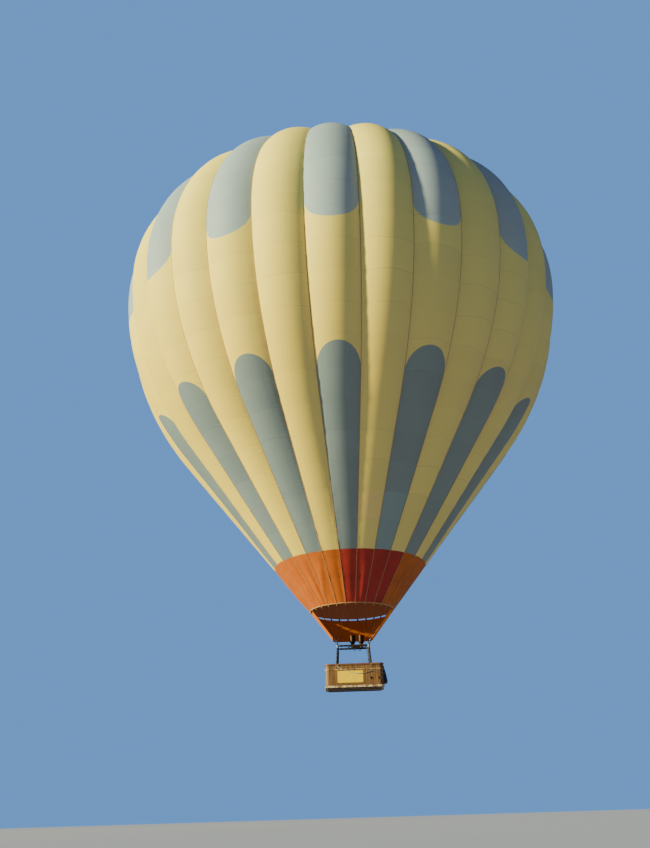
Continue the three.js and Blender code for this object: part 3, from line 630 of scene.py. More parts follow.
def laid_rope():
    # Three-strand polyester rope: off-white and furred, darker towards its right-hand end.
    material, add, place = start("polyester_rope_laid")
    body = patches(add, place, ("#b8b8ae", "#7d766c"), 4.0, 5.0, 0.5, 0.4, 0.65)
    east = add("SeparateXYZ", place).outputs[0]
    darker_to_the_right = add("MapRange", east, -0.1, 0.75, 0.0, 0.85, interpolation_type="SMOOTHSTEP")
    add("Principled BSDF", {"Base Color": add("Mix", darker_to_the_right, body, "#3a2c20"), "Roughness": 0.8,
                            "Sheen Weight": 0.3, **relief(add, place, (300.0, 2.0, 0.001, 0.5))})
    return material


def webbing(name, base, soil):
    # Flat-woven webbing: cross ribs 2 mm apart and a slightly soiled face.
    ribs = (260.0, 2.0, 0.002, 0.4)
    return two_toned(name, (base, soil), (6.0, 4.0), [ribs], {"Roughness": 0.75, "Sheen Weight": 0.25})


def peeled_willow(name, clean, soiled):
    # Willow, peeled before it is woven: pale where it is clean, and scuffed brown in patches.
    return two_toned(name, (clean, soiled), (2.4, 4.0, 0.7, 0.47, 0.56), [BARK_GRAIN], {"Roughness": 0.5})


def inner_cloth(name, base, soot, painted_glow, strength):
    # The inside of the thin cloth: dulled by the burner's soot, with an even painted glow in place of the sun
    # through it.
    shader = {"Roughness": 0.7, "Emission Color": painted_glow, "Emission Strength": strength}
    return two_toned(name, (base, soot), (0.8, 5.0, 0.6), [CLOTH_WEAVE], shader)


# The envelope's profile at the gores' crests, from the vent down to the mouth

def dense_profile():
    vent_turn = math.acos((VENT_R / EQUATOR_R) ** (CROWN_POWER_R / 2))
    crown = [vent_turn * i / 600 for i in range(600, 0, -1)]
    points = [(EQUATOR_R * math.cos(turn) ** (2 / CROWN_POWER_R),
               CROWN_H * math.sin(turn) ** (2 / CROWN_POWER_Z)) for turn in crown]
    taper_end = math.atan(math.tan(CONE_ANGLE) * TAPER_H / TAPER_R)
    taper = [taper_end * i / 300 for i in range(301)]
    points += [(EQUATOR_R - TAPER_R * (1 - math.cos(turn)), -TAPER_H * math.sin(turn)) for turn in taper]
    cone_r, cone_z = points[-1]
    cone = [lerp(cone_z, MOUTH_Z, i / 200) for i in range(1, 201)]
    return points + [(cone_r - (cone_z - z) * math.tan(CONE_ANGLE), z) for z in cone]


def measured_profile():
    """Rows of radius, height, outward normal and distance from the vent."""
    points = dense_profile()
    rows = []
    along = 0.0
    for i, (r, z) in enumerate(points):
        r0, z0 = points[max(i - 1, 0)]
        r1, z1 = points[min(i + 1, len(points) - 1)]
        run = math.hypot(r1 - r0, z1 - z0)
        if i:
            along += math.hypot(r - r0, z - z0)
        rows.append((r, z, (z0 - z1) / run, (r1 - r0) / run, along))
    return rows


PROFILE = measured_profile()
LENGTHS = [row[4] for row in PROFILE]
BAND_TOP_LENGTH = next(row[4] for row in PROFILE if row[1] <= BAND_TOP_Z)
MOUTH_LENGTH = LENGTHS[-1]
PANEL_LENGTH = BAND_TOP_LENGTH / PANELS
VENT, MOUTH = PROFILE[0], PROFILE[-1]


def row_at(along):
    """The profile's row at a distance from the vent."""
    high = clamp(bisect_right(LENGTHS, along), 1, len(PROFILE) - 1)
    a, b = PROFILE[high - 1], PROFILE[high]
    t = clamp((along - a[4]) / (b[4] - a[4]))
    return tuple(lerp(x, y, t) for x, y in zip(a, b))


def seam_angle(seam):
    return FIRST_SEAM + 360 / GORES * seam


def gore_arc(row):
    """The radius and half angle of a gore's bulged section."""
    r, z = row[:2]
    if z > 0:
        share, end = (r - VENT_R) / (DEEP_SEAM_R - VENT_R), VENT_SEAM_DEPTH
    else:
        share, end = (z - MOUTH_Z) / (DEEP_SEAM_Z - MOUTH_Z), MOUTH_SEAM_DEPTH
    seam_r = r * (1 - lerp(end, SEAM_DEPTH, smooth(share)))
    chord = seam_r * math.sin(math.pi / GORES)
    rise = r - seam_r * math.cos(math.pi / GORES)
    arc_r = (chord * chord + rise * rise) / (2 * rise)
    return arc_r, math.asin(min(1.0, chord / arc_r))


def gore_point(row, gore, side, proud=0.0):
    """A point of the bulged section: side is -1 at one seam and 1 at the next, and proud lifts it off."""
    arc_r, half_turn = gore_arc(row)
    turn = half_turn * side
    centre = outwards(seam_angle(gore + 0.5))
    reach = arc_r + proud * row[2]
    point = centre * (row[0] - arc_r + reach * math.cos(turn)) + UP.cross(centre) * (reach * math.sin(turn))
    return moved(point, z=row[1] + proud * row[3])


def pinch(along, side, gore):
    """How far the cloth is drawn in: along each level seam, and in puckers beside the upright ones."""
    from_seam = abs(along / PANEL_LENGTH - round(along / PANEL_LENGTH)) * PANEL_LENGTH
    level = -LEVEL_PINCH * (1 - smooth(from_seam / 0.3))
    beside = smooth((abs(side) - 0.6) / 0.25) * (1 - smooth((abs(side) - 0.9) / 0.1))
    pucker = PUCKER * math.sin(along * 9.7 + gore * 2.3) * math.sin(along * 4.1 + gore)
    return level * (1 - abs(side) ** 6) + pucker * beside


def slack(along, side, gore):
    """How far the band's looser cloth swells or sinks: one soft fold down each gore, none at its edges."""
    share = (along - BAND_TOP_LENGTH) / (MOUTH_LENGTH - BAND_TOP_LENGTH)
    if not 0 < share < 1:
        return 0.0
    place, slant, proud = BAND_FOLDS[gore % 4]
    fold = dip(side - place - slant * share, 0.4) * (1 - side ** 8)
    return proud * fold * math.sin(math.pi * share ** 1.4) ** 0.7


def sew(name, node, first, count, lengths, columns, finishes):
    """One sewn cloth over so many gores, with its coordinates and its two finishes. Its flat width at each
    row is worked out, but not kept.
    """
    total = count * columns + 1
    points, cloth, panel, widths = [], [], [], []
    for along in lengths:
        row = row_at(along)
        arc_r, half_turn = gore_arc(row)
        widths.append(2 * arc_r * half_turn * count)
        for j in range(total):
            here = min(j // columns, count - 1)
            side = 2 * (j - here * columns) / columns - 1
            gore = first + here
            drawn = pinch(along, side, gore) + slack(along, side, gore)
            points.append(gore_point(row, gore, side, drawn))
    for upper, lower in zip(lengths, lengths[1:]):
        top, foot = upper / PANEL_LENGTH, lower / PANEL_LENGTH
        for j in range(total - 1):
            here = j // columns
            left = (j - here * columns) / columns + 2 * (here % 2)
            right = left + 1 / columns
            cloth += [(left, top), (left, foot), (right, foot), (right, top)]
            panel += [(first + here, 0)] * 4
    obj = from_mesh(points, grid_faces(len(lengths), total), *finishes)
    lay_map(obj, "cloth", cloth)
    lay_map(obj, "panel", panel)
    finish(name, [thicken(obj, CLOTH, inner=1)], [node], angle=22)


# Finishes of the pieces. A weave or a grain is its noise's scale and detail, its depth and its strength.

CLOTH_WEAVE = (90.0, 2.0, 0.002, 0.3)
BARK_GRAIN = (160.0, 3.0, 0.001, 0.4)
ARAMID_SHEEN = {"Roughness": 0.85, "Specular IOR Level": 0.12}

NYLON = envelope_cloth()
NYLON_INSIDE = inner_cloth("ripstop_nylon_inside", "#b59a4a", "#8c6f38", "#a8743c", 0.09)
BAND_RED = band_cloth("aramid_cloth_red", "#a23018", "#882814", "#5c1a10")
BAND_ORANGE = band_cloth("aramid_cloth_orange", "#b65e0e", "#a2520e", "#84461a")
BAND_INSIDE = inner_cloth("aramid_cloth_inside", "#a45a28", "#7c3f1e", "#a86a4c", 0.145)
CREAM_TAPE = webbing("polyester_webbing_cream", "#b48a56", "#927040")
STRAW_TAPE = webbing("polyester_webbing_straw", "#cc9e62", "#9e7642")
BLACK_STRAP = webbing("nylon_webbing_black", "#2a2728", "#3c3836")
TAN_STRAP = webbing("cotton_webbing_tan", "#b5925c", "#8c6a3c")
CANE = willow()
WHITE_WILLOW = peeled_willow("plaited_willow_peeled", "#e4d2a8", "#9c7c54")
BUFF_WILLOW = peeled_willow("plaited_willow_buff", "#cdb27a", "#8a683a")
RIM_HIDE = leather("waxed_hide_brown", "#5a3a20", "#7a5230", 0.5)
BASE_HIDE = leather("waxed_hide_dark", "#2c1b10", "#45301e", 0.55)
VINYL = banner_vinyl()
ROPE = laid_rope()

# Heat-proof aramid cloth, matt, hung with soft folds. A faint even painted glow stands in for the sun through
# it.
SCOOP = two_toned("aramid_cloth_scoop", ("#cc7004", "#b45e04"), (1.6, 5.0, 0.6, 0.3, 0.8),
                  [CLOTH_WEAVE, (4.0, 3.0, 0.03, 0.35)],
                  {**ARAMID_SHEEN, "Emission Color": "#a85e38", "Emission Strength": 0.08})

# Coated nylon sleeve over foam: near black, slightly shiny where it is stretched, dusty in its creases.
SLEEVE = two_toned("coated_nylon_sleeve", ("#1c150f", "#2e251d"), (7.0, 5.0, 0.65, 0.35, 0.75),
                   [(220.0, 2.0, 0.001, 0.35), (26.0, 3.0, 0.006, 0.5)],
                   {"Roughness": 0.62, "Specular IOR Level": 0.3})

# Heavy woven nylon, dyed navy: matt, with a fine grain and pale rubbed folds.
BAG = two_toned("woven_nylon_bag", ("#141a38", "#222a50"), (6.0, 5.0, 0.5, 0.45, 0.8),
                [(240.0, 2.0, 0.001, 0.4), (9.0, 3.0, 0.02, 0.4)], {"Roughness": 0.7, "Sheen Weight": 0.2})

# Nitrile rubber hose, extruded: dark grey, smooth and softly shiny, with chalk-like dust.
RUBBER = two_toned("nitrile_rubber_extruded", ("#3c3f42", "#6c7074"), (12.0, 4.0),
                   [(300.0, 2.0, 0.0005, 0.3)], {"Roughness": 0.45})

# Moulded nylon grips and handwheels: dark red, fine-grained, shiny on the worn edges.
GRIP = two_toned("moulded_nylon_grip", ("#7c1d14", "#92281c"), (30.0, 3.0),
                 [(30.0, 3.0, 0.001, 0.3)], {"Roughness": 0.4})

# Matt emulsion paint, rolled: even and pale, with no gloss.
FLOOR_PAINT = two_toned("floor_matt_emulsion", ("#9ca4b8", "#a4acc0"), (0.4, 2.0), [], {"Roughness": 0.9})

# Stranded stainless steel wire: grey, with short bright glints from its lay.
WIRE = metal("stainless_wire_stranded", "#6c6a69", "#464341", 0.5, (1.0, 1.0, 3.0))

# Brushed stainless steel tube: a soft streaked shine, duller where hands and straps rub.
STEEL = metal("stainless_steel_brushed", "#76787b", "#54565a", 0.42, (1.0, 1.0, 12.0))

# Stainless steel that has been hot: straw and brown heat tint over a brushed shine.
HOT_STEEL = metal("stainless_steel_heat_tinted", "#3e2f22", "#1e1610", 0.45, (1.0, 1.0, 8.0))

# Spun aluminium cylinder: pale, half dull, with fine rings from the spinning.
ALUMINIUM = metal("aluminium_spun", "#b4b7ba", "#8d9196", 0.42, (0.4, 0.4, 14.0))

# Turned brass fittings: warm and bright, browned in the corners.
BRASS = metal("brass_turned", "#b9954e", "#7a5d2c", 0.35)


# Camera, floor and light

def make_camera():
    level = Vector((math.sin(CAMERA_YAW), math.cos(CAMERA_YAW), 0))
    right = level.cross(UP)
    forward = level * math.cos(CAMERA_PITCH) + UP * math.sin(CAMERA_PITCH)
    data = bpy.data.cameras.new("Camera")
    data.sensor_fit = "VERTICAL"
    data.sensor_height = SENSOR_H
    data.lens = SENSOR_H * FOCAL_PIXELS / PICTURE_H
    data.clip_end = 2 * FLOOR_SIZE
    camera = bpy.data.objects.new("Camera", data)
    bpy.context.scene.collection.objects.link(camera)
    turn = Matrix((right, right.cross(forward), -forward)).transposed().to_4x4()
    camera.matrix_world = Matrix.Translation(CAMERA_AT) @ turn @ Matrix.Rotation(CAMERA_ROLL, 4, "Z")
    bpy.context.scene.camera = camera


def make_light():
    """One warm key, low from the left, and an even blue sky that fills its shadows."""
    world = bpy.data.worlds.new("Studio")
    bpy.context.scene.world = world
    world.use_nodes = True
    add = partial(add_node, world.node_tree)
    strength = add("MapRange", add("LightPath"), 0.0, 1.0, SKY_LIGHT, SKY_SEEN)
    add("Background", {"Color": "#68a0e6", "Strength": strength})
    data = bpy.data.lights.new("Key", "SUN")
    data.energy = KEY_STRENGTH
    data.angle = KEY_ANGLE
    data.color = colour("#fff3c2")[:3]
    lamp = bpy.data.objects.new("Key", data)
    bpy.context.scene.collection.objects.link(lamp)
    source = outwards(KEY_THETA) * math.cos(KEY_HEIGHT) + UP * math.sin(KEY_HEIGHT)
    lamp.rotation_mode = "QUATERNION"
    lamp.rotation_quaternion = source.to_track_quat("Z", "Y")


def make_floor():
    choose()
    bpy.ops.mesh.primitive_plane_add(size=FLOOR_SIZE, location=(0, 0, FLOOR_Z))
    floor = dress(settle(bpy.context.object), FLOOR_PAINT)
    floor.name = "studio_floor"


# Envelope

def make_gores():
    """Each pair of gores is two sewn cloths, which meet at a level seam near the widest circle."""
    for pair in range(GORES // 2):
        name = f"gore_pair_{pair + 1:02d}"
        for half, top, foot in (("upper", 0, SPLIT_PANEL), ("lower", SPLIT_PANEL, PANELS)):
            rows = range((foot - top) * PANEL_ROWS + 1)
            lengths = [PANEL_LENGTH * (top + i / PANEL_ROWS) for i in rows]
            sew(f"{name}_{half}_cloth", name, 2 * pair - 1, 2, lengths, GORE_COLUMNS,
                (NYLON, NYLON_INSIDE))


def make_bands():
    """The heat-proof band in four panels: red in front and behind, orange at the sides."""
    lengths = [lerp(BAND_TOP_LENGTH, MOUTH_LENGTH, i / BAND_ROWS) for i in range(BAND_ROWS + 1)]
    red, orange = ("band_red", BAND_RED), ("band_orange", BAND_ORANGE)
    panels = (("front", -1, 4, red), ("right", 3, 10, orange), ("back", 13, 4, red), ("left", 17, 10, orange))
    for side, first, count, (slot, cloth) in panels:
        node = f"mouth_band_{side}"
        sew(f"{node}_cloth", node, first, count, lengths, BAND_COLUMNS, (cloth, BAND_INSIDE))


def make_seam_tapes():
    """The load tapes, one sewn over each seam from the vent to the mouth."""
    rows = [row_at(MOUTH_LENGTH * i / 100) for i in range(101)]
    strips = []
    for seam in range(GORES):
        aside = UP.cross(outwards(seam_angle(seam))) * (TAPE_W / 2)
        rings = []
        for row in rows:
            low, high = (gore_point(row, seam, -1, proud) for proud in (TAPE_LOW - CLOTH, TAPE_HIGH))
            rings.append(strip_ring(low, high, aside))
        strips.append(skin(CREAM_TAPE, rings))
    finish("seam_tapes", strips)


def make_mouth_rim():
    """A folded webbing sewn over the mouth's edge."""
    upper = row_at(MOUTH_LENGTH - MOUTH_TAPE_H)
    thick = MOUTH_TAPE_T
    corners = ((upper, thick, 0), (MOUTH, thick, -thick), (MOUTH, -CLOTH - thick, -thick),
               (upper, -CLOTH - thick, 0))
    rings = []
    for step in range(GORES * MOUTH_COLUMNS):
        gore, i = divmod(step, MOUTH_COLUMNS)
        side = 2 * i / MOUTH_COLUMNS - 1
        rings.append([moved(gore_point(row, gore, side, proud), z=lift) for row, proud, lift in corners])
    finish("mouth_rim_tape", [skin(STRAW_TAPE, rings, closed=True)])


def make_crown():
    """The tapes that cross the vent to the crown ring, each doubled back at it, and the ring they loop."""
    tape_z = VENT[1] - FABRIC / 2
    seam_r = VENT[0] * (1 - VENT_SEAM_DEPTH)
    thick = UP * (CROWN_TAPE_T / 2)
    parts = []
    for seam in range(GORES):
        out = outwards(seam_angle(seam))
        rings = []
        for share, lift in ((0, 0.004), (0.04, 0.008), (0.1, 0), (0.5, -0.002), (0.95, 0), (1.0, 0)):
            middle = out * lerp(CROWN_RING_R - 0.02, seam_r - 0.012, share) + UP * (tape_z + lift)
            rings.append(strip_ring(middle - thick, middle + thick, UP.cross(out) * (CROWN_TAPE_W / 2)))
        parts.append(skin(CREAM_TAPE, rings))
    ring = [outwards(turn) * (CROWN_RING_R - 0.025) + UP * (tape_z + 0.008) for turn in range(0, 360, 5)]
    parts.append(sweep(STEEL, ring, circle(CROWN_RING_BAR, 12), closed=True))
    finish("crown_tapes_sewn", parts, ["crown_tapes"])


def make_valve():
    """The parachute valve: a shallow dome of cloth, lobed between its seams, and its hem."""
    top = VENT[1] - FABRIC / 2 - CROWN_TAPE_T / 2 - VALVE_CLEAR
    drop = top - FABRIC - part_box("parachute_valve")[0][2]
    grid = []
    for i in range(CLOTH_ROWS + 1):
        share = i / CLOTH_ROWS
        row = []
        for j in range(GORES * LOBE_COLUMNS + 1):
            lobe = VALVE_LOBE * share * (1 - share) * abs(math.sin(math.pi * j / LOBE_COLUMNS))
            z = top - drop * share * share - VALVE_SAG * share * (1 - share) + lobe
            r = max(share * VALVE_R, 0.02)
            if share == 1 and j % LOBE_COLUMNS:
                r *= math.cos(math.pi / GORES)
            row.append(outwards(seam_angle(j / LOBE_COLUMNS)) * r + UP * z)
        grid.append(row)
    cloth = recalculate(cloth_grid(NYLON, [row[::-1] for row in grid], CLOTH))
    finish("parachute_valve_cloth", [cloth], ["parachute_valve"], "valve", 22)
    hem = sweep(CREAM_TAPE, grid[-1][:-1], rounded_box(0.008, 0.004, 8), closed=True)
    finish("valve_hem", [hem], body="valve")


# Flying wires and scoop

def line_foot(seam):
    """Where the line from a seam meets the frame: seven seams to a corner, others between two corners."""
    places = [Vector((x * FRAME_X, y * FRAME_Y, SHACKLE_Z)) for _, x, y in CORNERS]
    quarter = math.floor(seam / 7)
    return places[quarter % 4].lerp(places[(quarter + 1) % 4], clamp(seam - 7 * quarter - 6))


def line_point(seam, share, out_top, out_foot):
    """A point of the line from the mouth to the frame at a seam, share 0 to 1, moved out level."""
    out = outwards(seam_angle(seam))
    top = out * (MOUTH[0] * (1 - MOUTH_SEAM_DEPTH) + out_top) + UP * (MOUTH_Z - 1.5 * GAP)
    return top.lerp(line_foot(seam) + out * out_foot, share)


def make_flying_wires():
    """Seven wires to a corner, each from a webbing stub at the mouth, all in one shackle."""
    half = SHACKLE_H / 2
    back = -STUB_T / 2
    shackle = [(0.02, -half), (SHACKLE_R, -half + 0.006), (SHACKLE_R, -0.004), (0.024, 0.002),
               (SHACKLE_R - 0.002, 0.008), (0.02, half)]
    for quarter, (name, x, y) in enumerate(CORNERS):
        foot = Vector((x * FRAME_X, y * FRAME_Y, SHACKLE_Z))
        eye = foot + UP * 0.01
        parts = []
        for seam in range(7 * quarter, 7 * quarter + 7):
            out = outwards(seam_angle(seam))
            aside = UP.cross(out) * (STUB_W / 2)
            thick = out * (STUB_T * 0.4)
            rings = []
            for share in (0, 0.5, 0.8, 1):
                narrow = lerp(1.0, 0.45, smooth((share - 0.5) / 0.5))
                middle = line_point(seam, share * STUB_SHARE, back, back)
                rings.append(strip_ring(middle - thick, middle + thick, aside * narrow))
            top = line_point(seam, STUB_SHARE * 0.9, back, back)
            parts += [skin(CREAM_TAPE, rings), rod(WIRE, eye, top, WIRE_R * 0.8, 8)]
            for a, b in ((0.06, 0.09), (1.0, 0.97)):
                parts.append(rod(STEEL, eye.lerp(top, a), eye.lerp(top, b), WIRE_R * 1.9, 10))
        parts.append(turned(STEEL, foot, shackle, 32))
        finish(f"flying_wires_{name}_rope", parts, [f"flying_wires_{name}"])


def scoop_rows():
    """The scoop's cloth, row by row, drawn straight from tab to tab and bulged a little between the wires."""
    top_z = MOUTH_Z - 1.5 * GAP
    first, last = ((turn - FIRST_SEAM) / (360 / GORES) for turn in (SCOOP_FROM, 360 - SCOOP_FROM))
    seams = [first, *range(FIRST_TAB, LAST_TAB + 1), last]
    rows = []
    for i in range(CLOTH_ROWS + 1):
        down = i / CLOTH_ROWS
        share = lerp(SCOOP_DROP, top_z - SCOOP_BOTTOM_Z, down) / (top_z - SHACKLE_Z)
        ends = [line_point(seam, share, SCOOP_IN_TOP + SCOOP_OUT, SCOOP_IN_FOOT + SCOOP_OUT)
                for seam in seams]
        row = []
        for a, b, here, there in zip(seams, seams[1:], ends, ends[1:]):
            out = outwards(seam_angle((a + b) / 2))
            for k in range(SCOOP_COLUMNS):
                t = k / SCOOP_COLUMNS
                bulge = SCOOP_BULGE * math.sin(math.pi * t) * (b - a) * (1 - 0.6 * down)
                row.append(here.lerp(there, t) + out * bulge)
        rows.append(row + ends[-1:])
    return rows


def make_scoop():
    """The scoop round the back and the sides, open to the front, with a tab to the mouth at each seam."""
    rows = scoop_rows()
    cloth = cloth_grid(SCOOP, rows, CLOTH)
    finish("scoop_cloth", [cloth], ["scoop"], angle=40)
    edge = [row[0] for row in reversed(rows)] + rows[0][1:] + [row[-1] for row in rows[1:]]
    hems = [sweep(SCOOP, path, rounded_box(0.006, 0.009, 8)) for path in (edge, rows[-1])]
    top = SCOOP_DROP / (MOUTH_Z - SHACKLE_Z)
    for seam in range(FIRST_TAB, LAST_TAB + 1):
        aside = UP.cross(outwards(seam_angle(seam))) * (TAB_W / 2)
        rings = []
        for share in (0, top * 0.5, top, top * 1.25):
            inner, outer = (line_point(seam, share, SCOOP_IN_TOP + proud, SCOOP_IN_FOOT + proud)
                            for proud in (0, TAB_T))
            rings.append(strip_ring(inner, outer, aside))
        hems.append(skin(SCOOP, rings))
    finish("scoop_hems_and_tabs", hems, angle=40)


# Load frame and uprights

def padded_sleeve(node, foot, top, radius):
    """A foam sleeve on a tube: gathered at its ends and drawn in under each strap."""
    path = spaced([Vector(foot), Vector(top)], STRAP_HALF)
    length = length_of(path)
    count = max(2, round(length / STRAP_EVERY))
    direction = (path[-1] - path[0]).normalized()
    radius *= PAD_SWELL

    def section(along):
        straps = along / length * count
        drawn = 0.1 * dip((straps - round(straps)) * length / count, 0.02)
        gathered = 0.25 * math.exp(-min(along, length - along) / 0.012)

        def reach(turn):
            ripple = 0.02 * math.sin(3 * turn + along * 21) * math.sin(along * 33 + 1.7 * turn)
            return radius * (0.98 - drawn - gathered + ripple)

        return section_of(24, reach)

    parts = [sweep(SLEEVE, path, section, UP if abs(direction.z) < 0.8 else Vector((1, 0, 0)))]
    for k in range(1, count):
        middle = path[0].lerp(path[-1], k / count)
        ends = [middle + direction * aside for aside in (-STRAP_HALF, STRAP_HALF)]
        parts.append(rod(BLACK_STRAP, *ends, radius * 0.93, 24, 0.05))
    finish(f"{node}_sleeve", parts, [node], angle=50)


def make_padding():
    """Padded sleeves on the four bars of the load frame and on the four uprights."""
    bar_x = FRAME_X - CORNER_ARM - GAP
    bar_y = FRAME_Y - CORNER_ARM - GAP
    for name, y in (("front", -FRAME_Y), ("back", FRAME_Y)):
        padded_sleeve(f"load_frame_{name}", (-bar_x, y, FRAME_Z), (bar_x, y, FRAME_Z), FRAME_PAD_R)
    for name, side in SIDES:
        x = side * FRAME_X
        padded_sleeve(f"load_frame_{name}", (x, -bar_y, FRAME_Z), (x, bar_y, FRAME_Z), FRAME_PAD_R)
    for name, x, y in CORNERS:
        foot = (x * FOOT_X, y * FOOT_Y, RIM_TOP_Z + GAP)
        top = (x * FRAME_X, y * FRAME_Y, FRAME_Z - CORNER_DROP - GAP)
        padded_sleeve(f"upright_{name}", foot, top, UPRIGHT_R)


def make_frame_corners():
    """Cast corners of the load frame: a grooved boss, two arms into the bars, and a lug for the wires."""
    lug_top = SHACKLE_Z - SHACKLE_H / 2 - GAP
    r = CORNER_BOSS_R
    boss = [(r - 0.006, -CORNER_DROP), (r, -CORNER_DROP + 0.006), (r, -0.07), (r - 0.006, -0.064),
            (r - 0.006, -0.04), (r, -0.034), (r, CORNER_RISE - 0.008), (r - 0.008, CORNER_RISE),
            (0.02, CORNER_RISE)]
    # Pin, head and nut: from, to, radius, sides and ease
    bolt = ((-0.022, 0.022, 0.009, 20, 0.25), (-0.026, -0.016, 0.014, 6, 0.1),
            (0.014, 0.024, 0.014, 6, 0.1))
    for name, x, y in CORNERS:
        at = Vector((x * FRAME_X, y * FRAME_Y, FRAME_Z))
        parts = [turned(STEEL, at, boss, 40)]
        for inward in (Vector((-x, 0, 0)), Vector((0, -y, 0))):
            parts.append(rod(STEEL, at, at + inward * CORNER_ARM, CORNER_ARM_R, 24))
            parts.append(rod(STEEL, at + inward * 0.04, at + inward * 0.062, CORNER_ARM_R + 0.006, 24))
        lug = Vector((at.x, at.y, lug_top - LUG_H / 2))
        parts.append(block(STEEL, lug, (LUG_W / 2, LUG_T / 2, LUG_H / 2), 0.004))
        pin = Vector((at.x, at.y, lug_top - 0.02))
        for low, high, radius, sides, ease in bolt:
            parts.append(rod(STEEL, moved(pin, y=low), moved(pin, y=high), radius, sides, ease))
        screw = rod(STEEL, (0, -0.04, -0.052), (0, -0.049, -0.052), 0.007, 12)
        parts += set_out(screw, [at] * 4, (45, 135, 225, 315))
        finish(f"frame_corner_{name}_cast", parts, [f"frame_corner_{name}"])


# Gimbal and burner

def make_rails():
    """Two rails across the frame, each with a bearing block and its clamps to the padded bars."""
    reach = FRAME_Y - FRAME_PAD_R - GAP
    half = RAIL_W / 2
    for name, side in SIDES:
        at = Vector((BURNER_X + side * (RING_X + RAIL_GAP + half), 0, FRAME_Z))
        bearing = (half + 0.0005, BLOCK, (BLOCK + BLOCK_DROP) / 2)
        parts = [block(STEEL, at, (half, reach, half), 0.004),
                 block(STEEL, moved(at, z=(BLOCK - BLOCK_DROP) / 2), bearing, 0.005)]
        for y in (-0.02, 0.02):
            ends = [moved(at, y=y, z=BLOCK + z) for z in (-0.002, 0.006)]
            parts.append(rod(STEEL, *ends, 0.006, 6, 0.1))
        for y in (-reach + 0.02, reach - 0.02):
            parts.append(block(STEEL, moved(at, y=y), (half + 0.003, 0.012, half + 0.003), 0.002))
        finish(f"gimbal_rail_{name}_machined", parts, [f"gimbal_rail_{name}"])


def make_ring():
    """The gimbal ring: square tube bent at its corners, with its two pins and their washers."""
    at = Vector((BURNER_X, 0, FRAME_Z))
    half, bend = RING_BAR / 2, 0.02
    path = []
    for i, (cx, cy) in enumerate(((-1, -1), (1, -1), (1, 1), (-1, 1))):
        corner = moved(at, cx * (RING_X - half - bend), cy * (RING_Y - half - bend))
        for k in range(5):
            turn = math.radians(180 + 90 * i + 90 * k / 4)
            path.append(moved(corner, bend * math.cos(turn), bend * math.sin(turn)))
    parts = [sweep(STEEL, path, rounded_box(half, half, 16, 8.0), closed=True)]
    pin = (RING_X - 0.012, RING_X + RAIL_GAP - PIN_PLAY, PIN_R, 0.1)
    washer = (RING_X - 0.001, RING_X + 0.005, 0.02, 0.05)
    for side in (-1, 1):
        for near, far, radius, ease in (pin, washer):
            parts.append(rod(STEEL, moved(at, side * near), moved(at, side * far), radius, 24, ease))
    finish("gimbal_ring_welded", parts, ["gimbal_ring"], "gimbal")


def make_burner_base():
    """The burner's base: a cross tube, a jet block for each can, taps, gauges and the two blast levers."""
    at = Vector((BURNER_X, 0, FRAME_Z))
    foot = CAN_BOTTOM_Z - GAP - FRAME_Z
    jet_block = [(0.05, -0.045), (0.08, -0.043), (0.085, -0.036), (0.085, 0.02), (0.078, 0.03), (0.078, 0.06),
                 (0.085, 0.07), (0.085, foot - 0.07), (0.11, foot - 0.045), (0.145, foot - 0.02),
                 (0.145, foot - 0.004), (0.14, foot)]
    parts = [block(HOT_STEEL, at, (CAN_X, 0.035, 0.035), 0.006)]
    for side in (-1, 1):
        centre = moved(at, side * CAN_X)
        parts.append(turned(HOT_STEEL, centre, jet_block, 48))
        for near, far, radius in ((0, RING_Y - RING_BAR - PIN_PLAY, PIN_R), (0.03, 0.06, 0.022)):
            parts.append(rod(HOT_STEEL, moved(at, y=side * near), moved(at, y=side * far), radius, 24, 0.1))
        bolt = rod(HOT_STEEL, (0, 0, -0.047), (0, 0, -0.035), 0.008, 6, 0.1)
        parts += set_out(bolt, [centre + outwards(turn) * 0.066 for turn in range(0, 360, 45)])
        root = moved(centre, y=-0.06, z=-0.02)
        knee, end = moved(at, side * 0.168, -0.15, -0.19), moved(at, side * 0.063, -0.165, -0.195)
        bends = [root, root.lerp(knee, 0.5), knee.lerp(root, 0.08), knee, knee.lerp(end, 0.12), end]
        parts.append(sweep(HOT_STEEL, route_curve(bends, 0.006), circle(0.009, 12)))
        parts.append(rod(GRIP, knee.lerp(end, 0.18), end, 0.014, 20, 0.4))
        rib = rod(GRIP, knee.lerp(end, 0.25), knee.lerp(end, 0.29), 0.0152, 20, 0.2)
        parts += set_out(rib, [(end - knee) * (0.12 * k) for k in range(6)])
        tap, gauge = moved(centre, y=-0.075), moved(at, side * 0.11, -0.035)
        # Tap, handwheel, gauge stem and gauge: finish, place, from, to, radius, sides and ease
        fittings = ((BRASS, tap, 0, 0.05, 0.014, 12, 0.1), (GRIP, tap, 0.045, 0.058, 0.024, 12, 0.2),
                    (BRASS, gauge, 0, 0.02, 0.007, 12, 0.25), (HOT_STEEL, gauge, 0.02, 0.042, 0.028, 32, 0.1))
        for material, spot, near, far, radius, sides, ease in fittings:
            parts.append(rod(material, moved(spot, y=-near), moved(spot, y=-far), radius, sides, ease))
    finish("burner_base_machined", parts, ["burner_base"], "burner")


def coil_path(centre, radius, low, high, turns):
    path = []
    for i in range(turns * 20 + 1):
        turn = 2 * math.pi * i / 20
        height = lerp(low, high, i / (turns * 20))
        path.append(moved(centre, radius * math.cos(turn), radius * math.sin(turn), height))
    return path


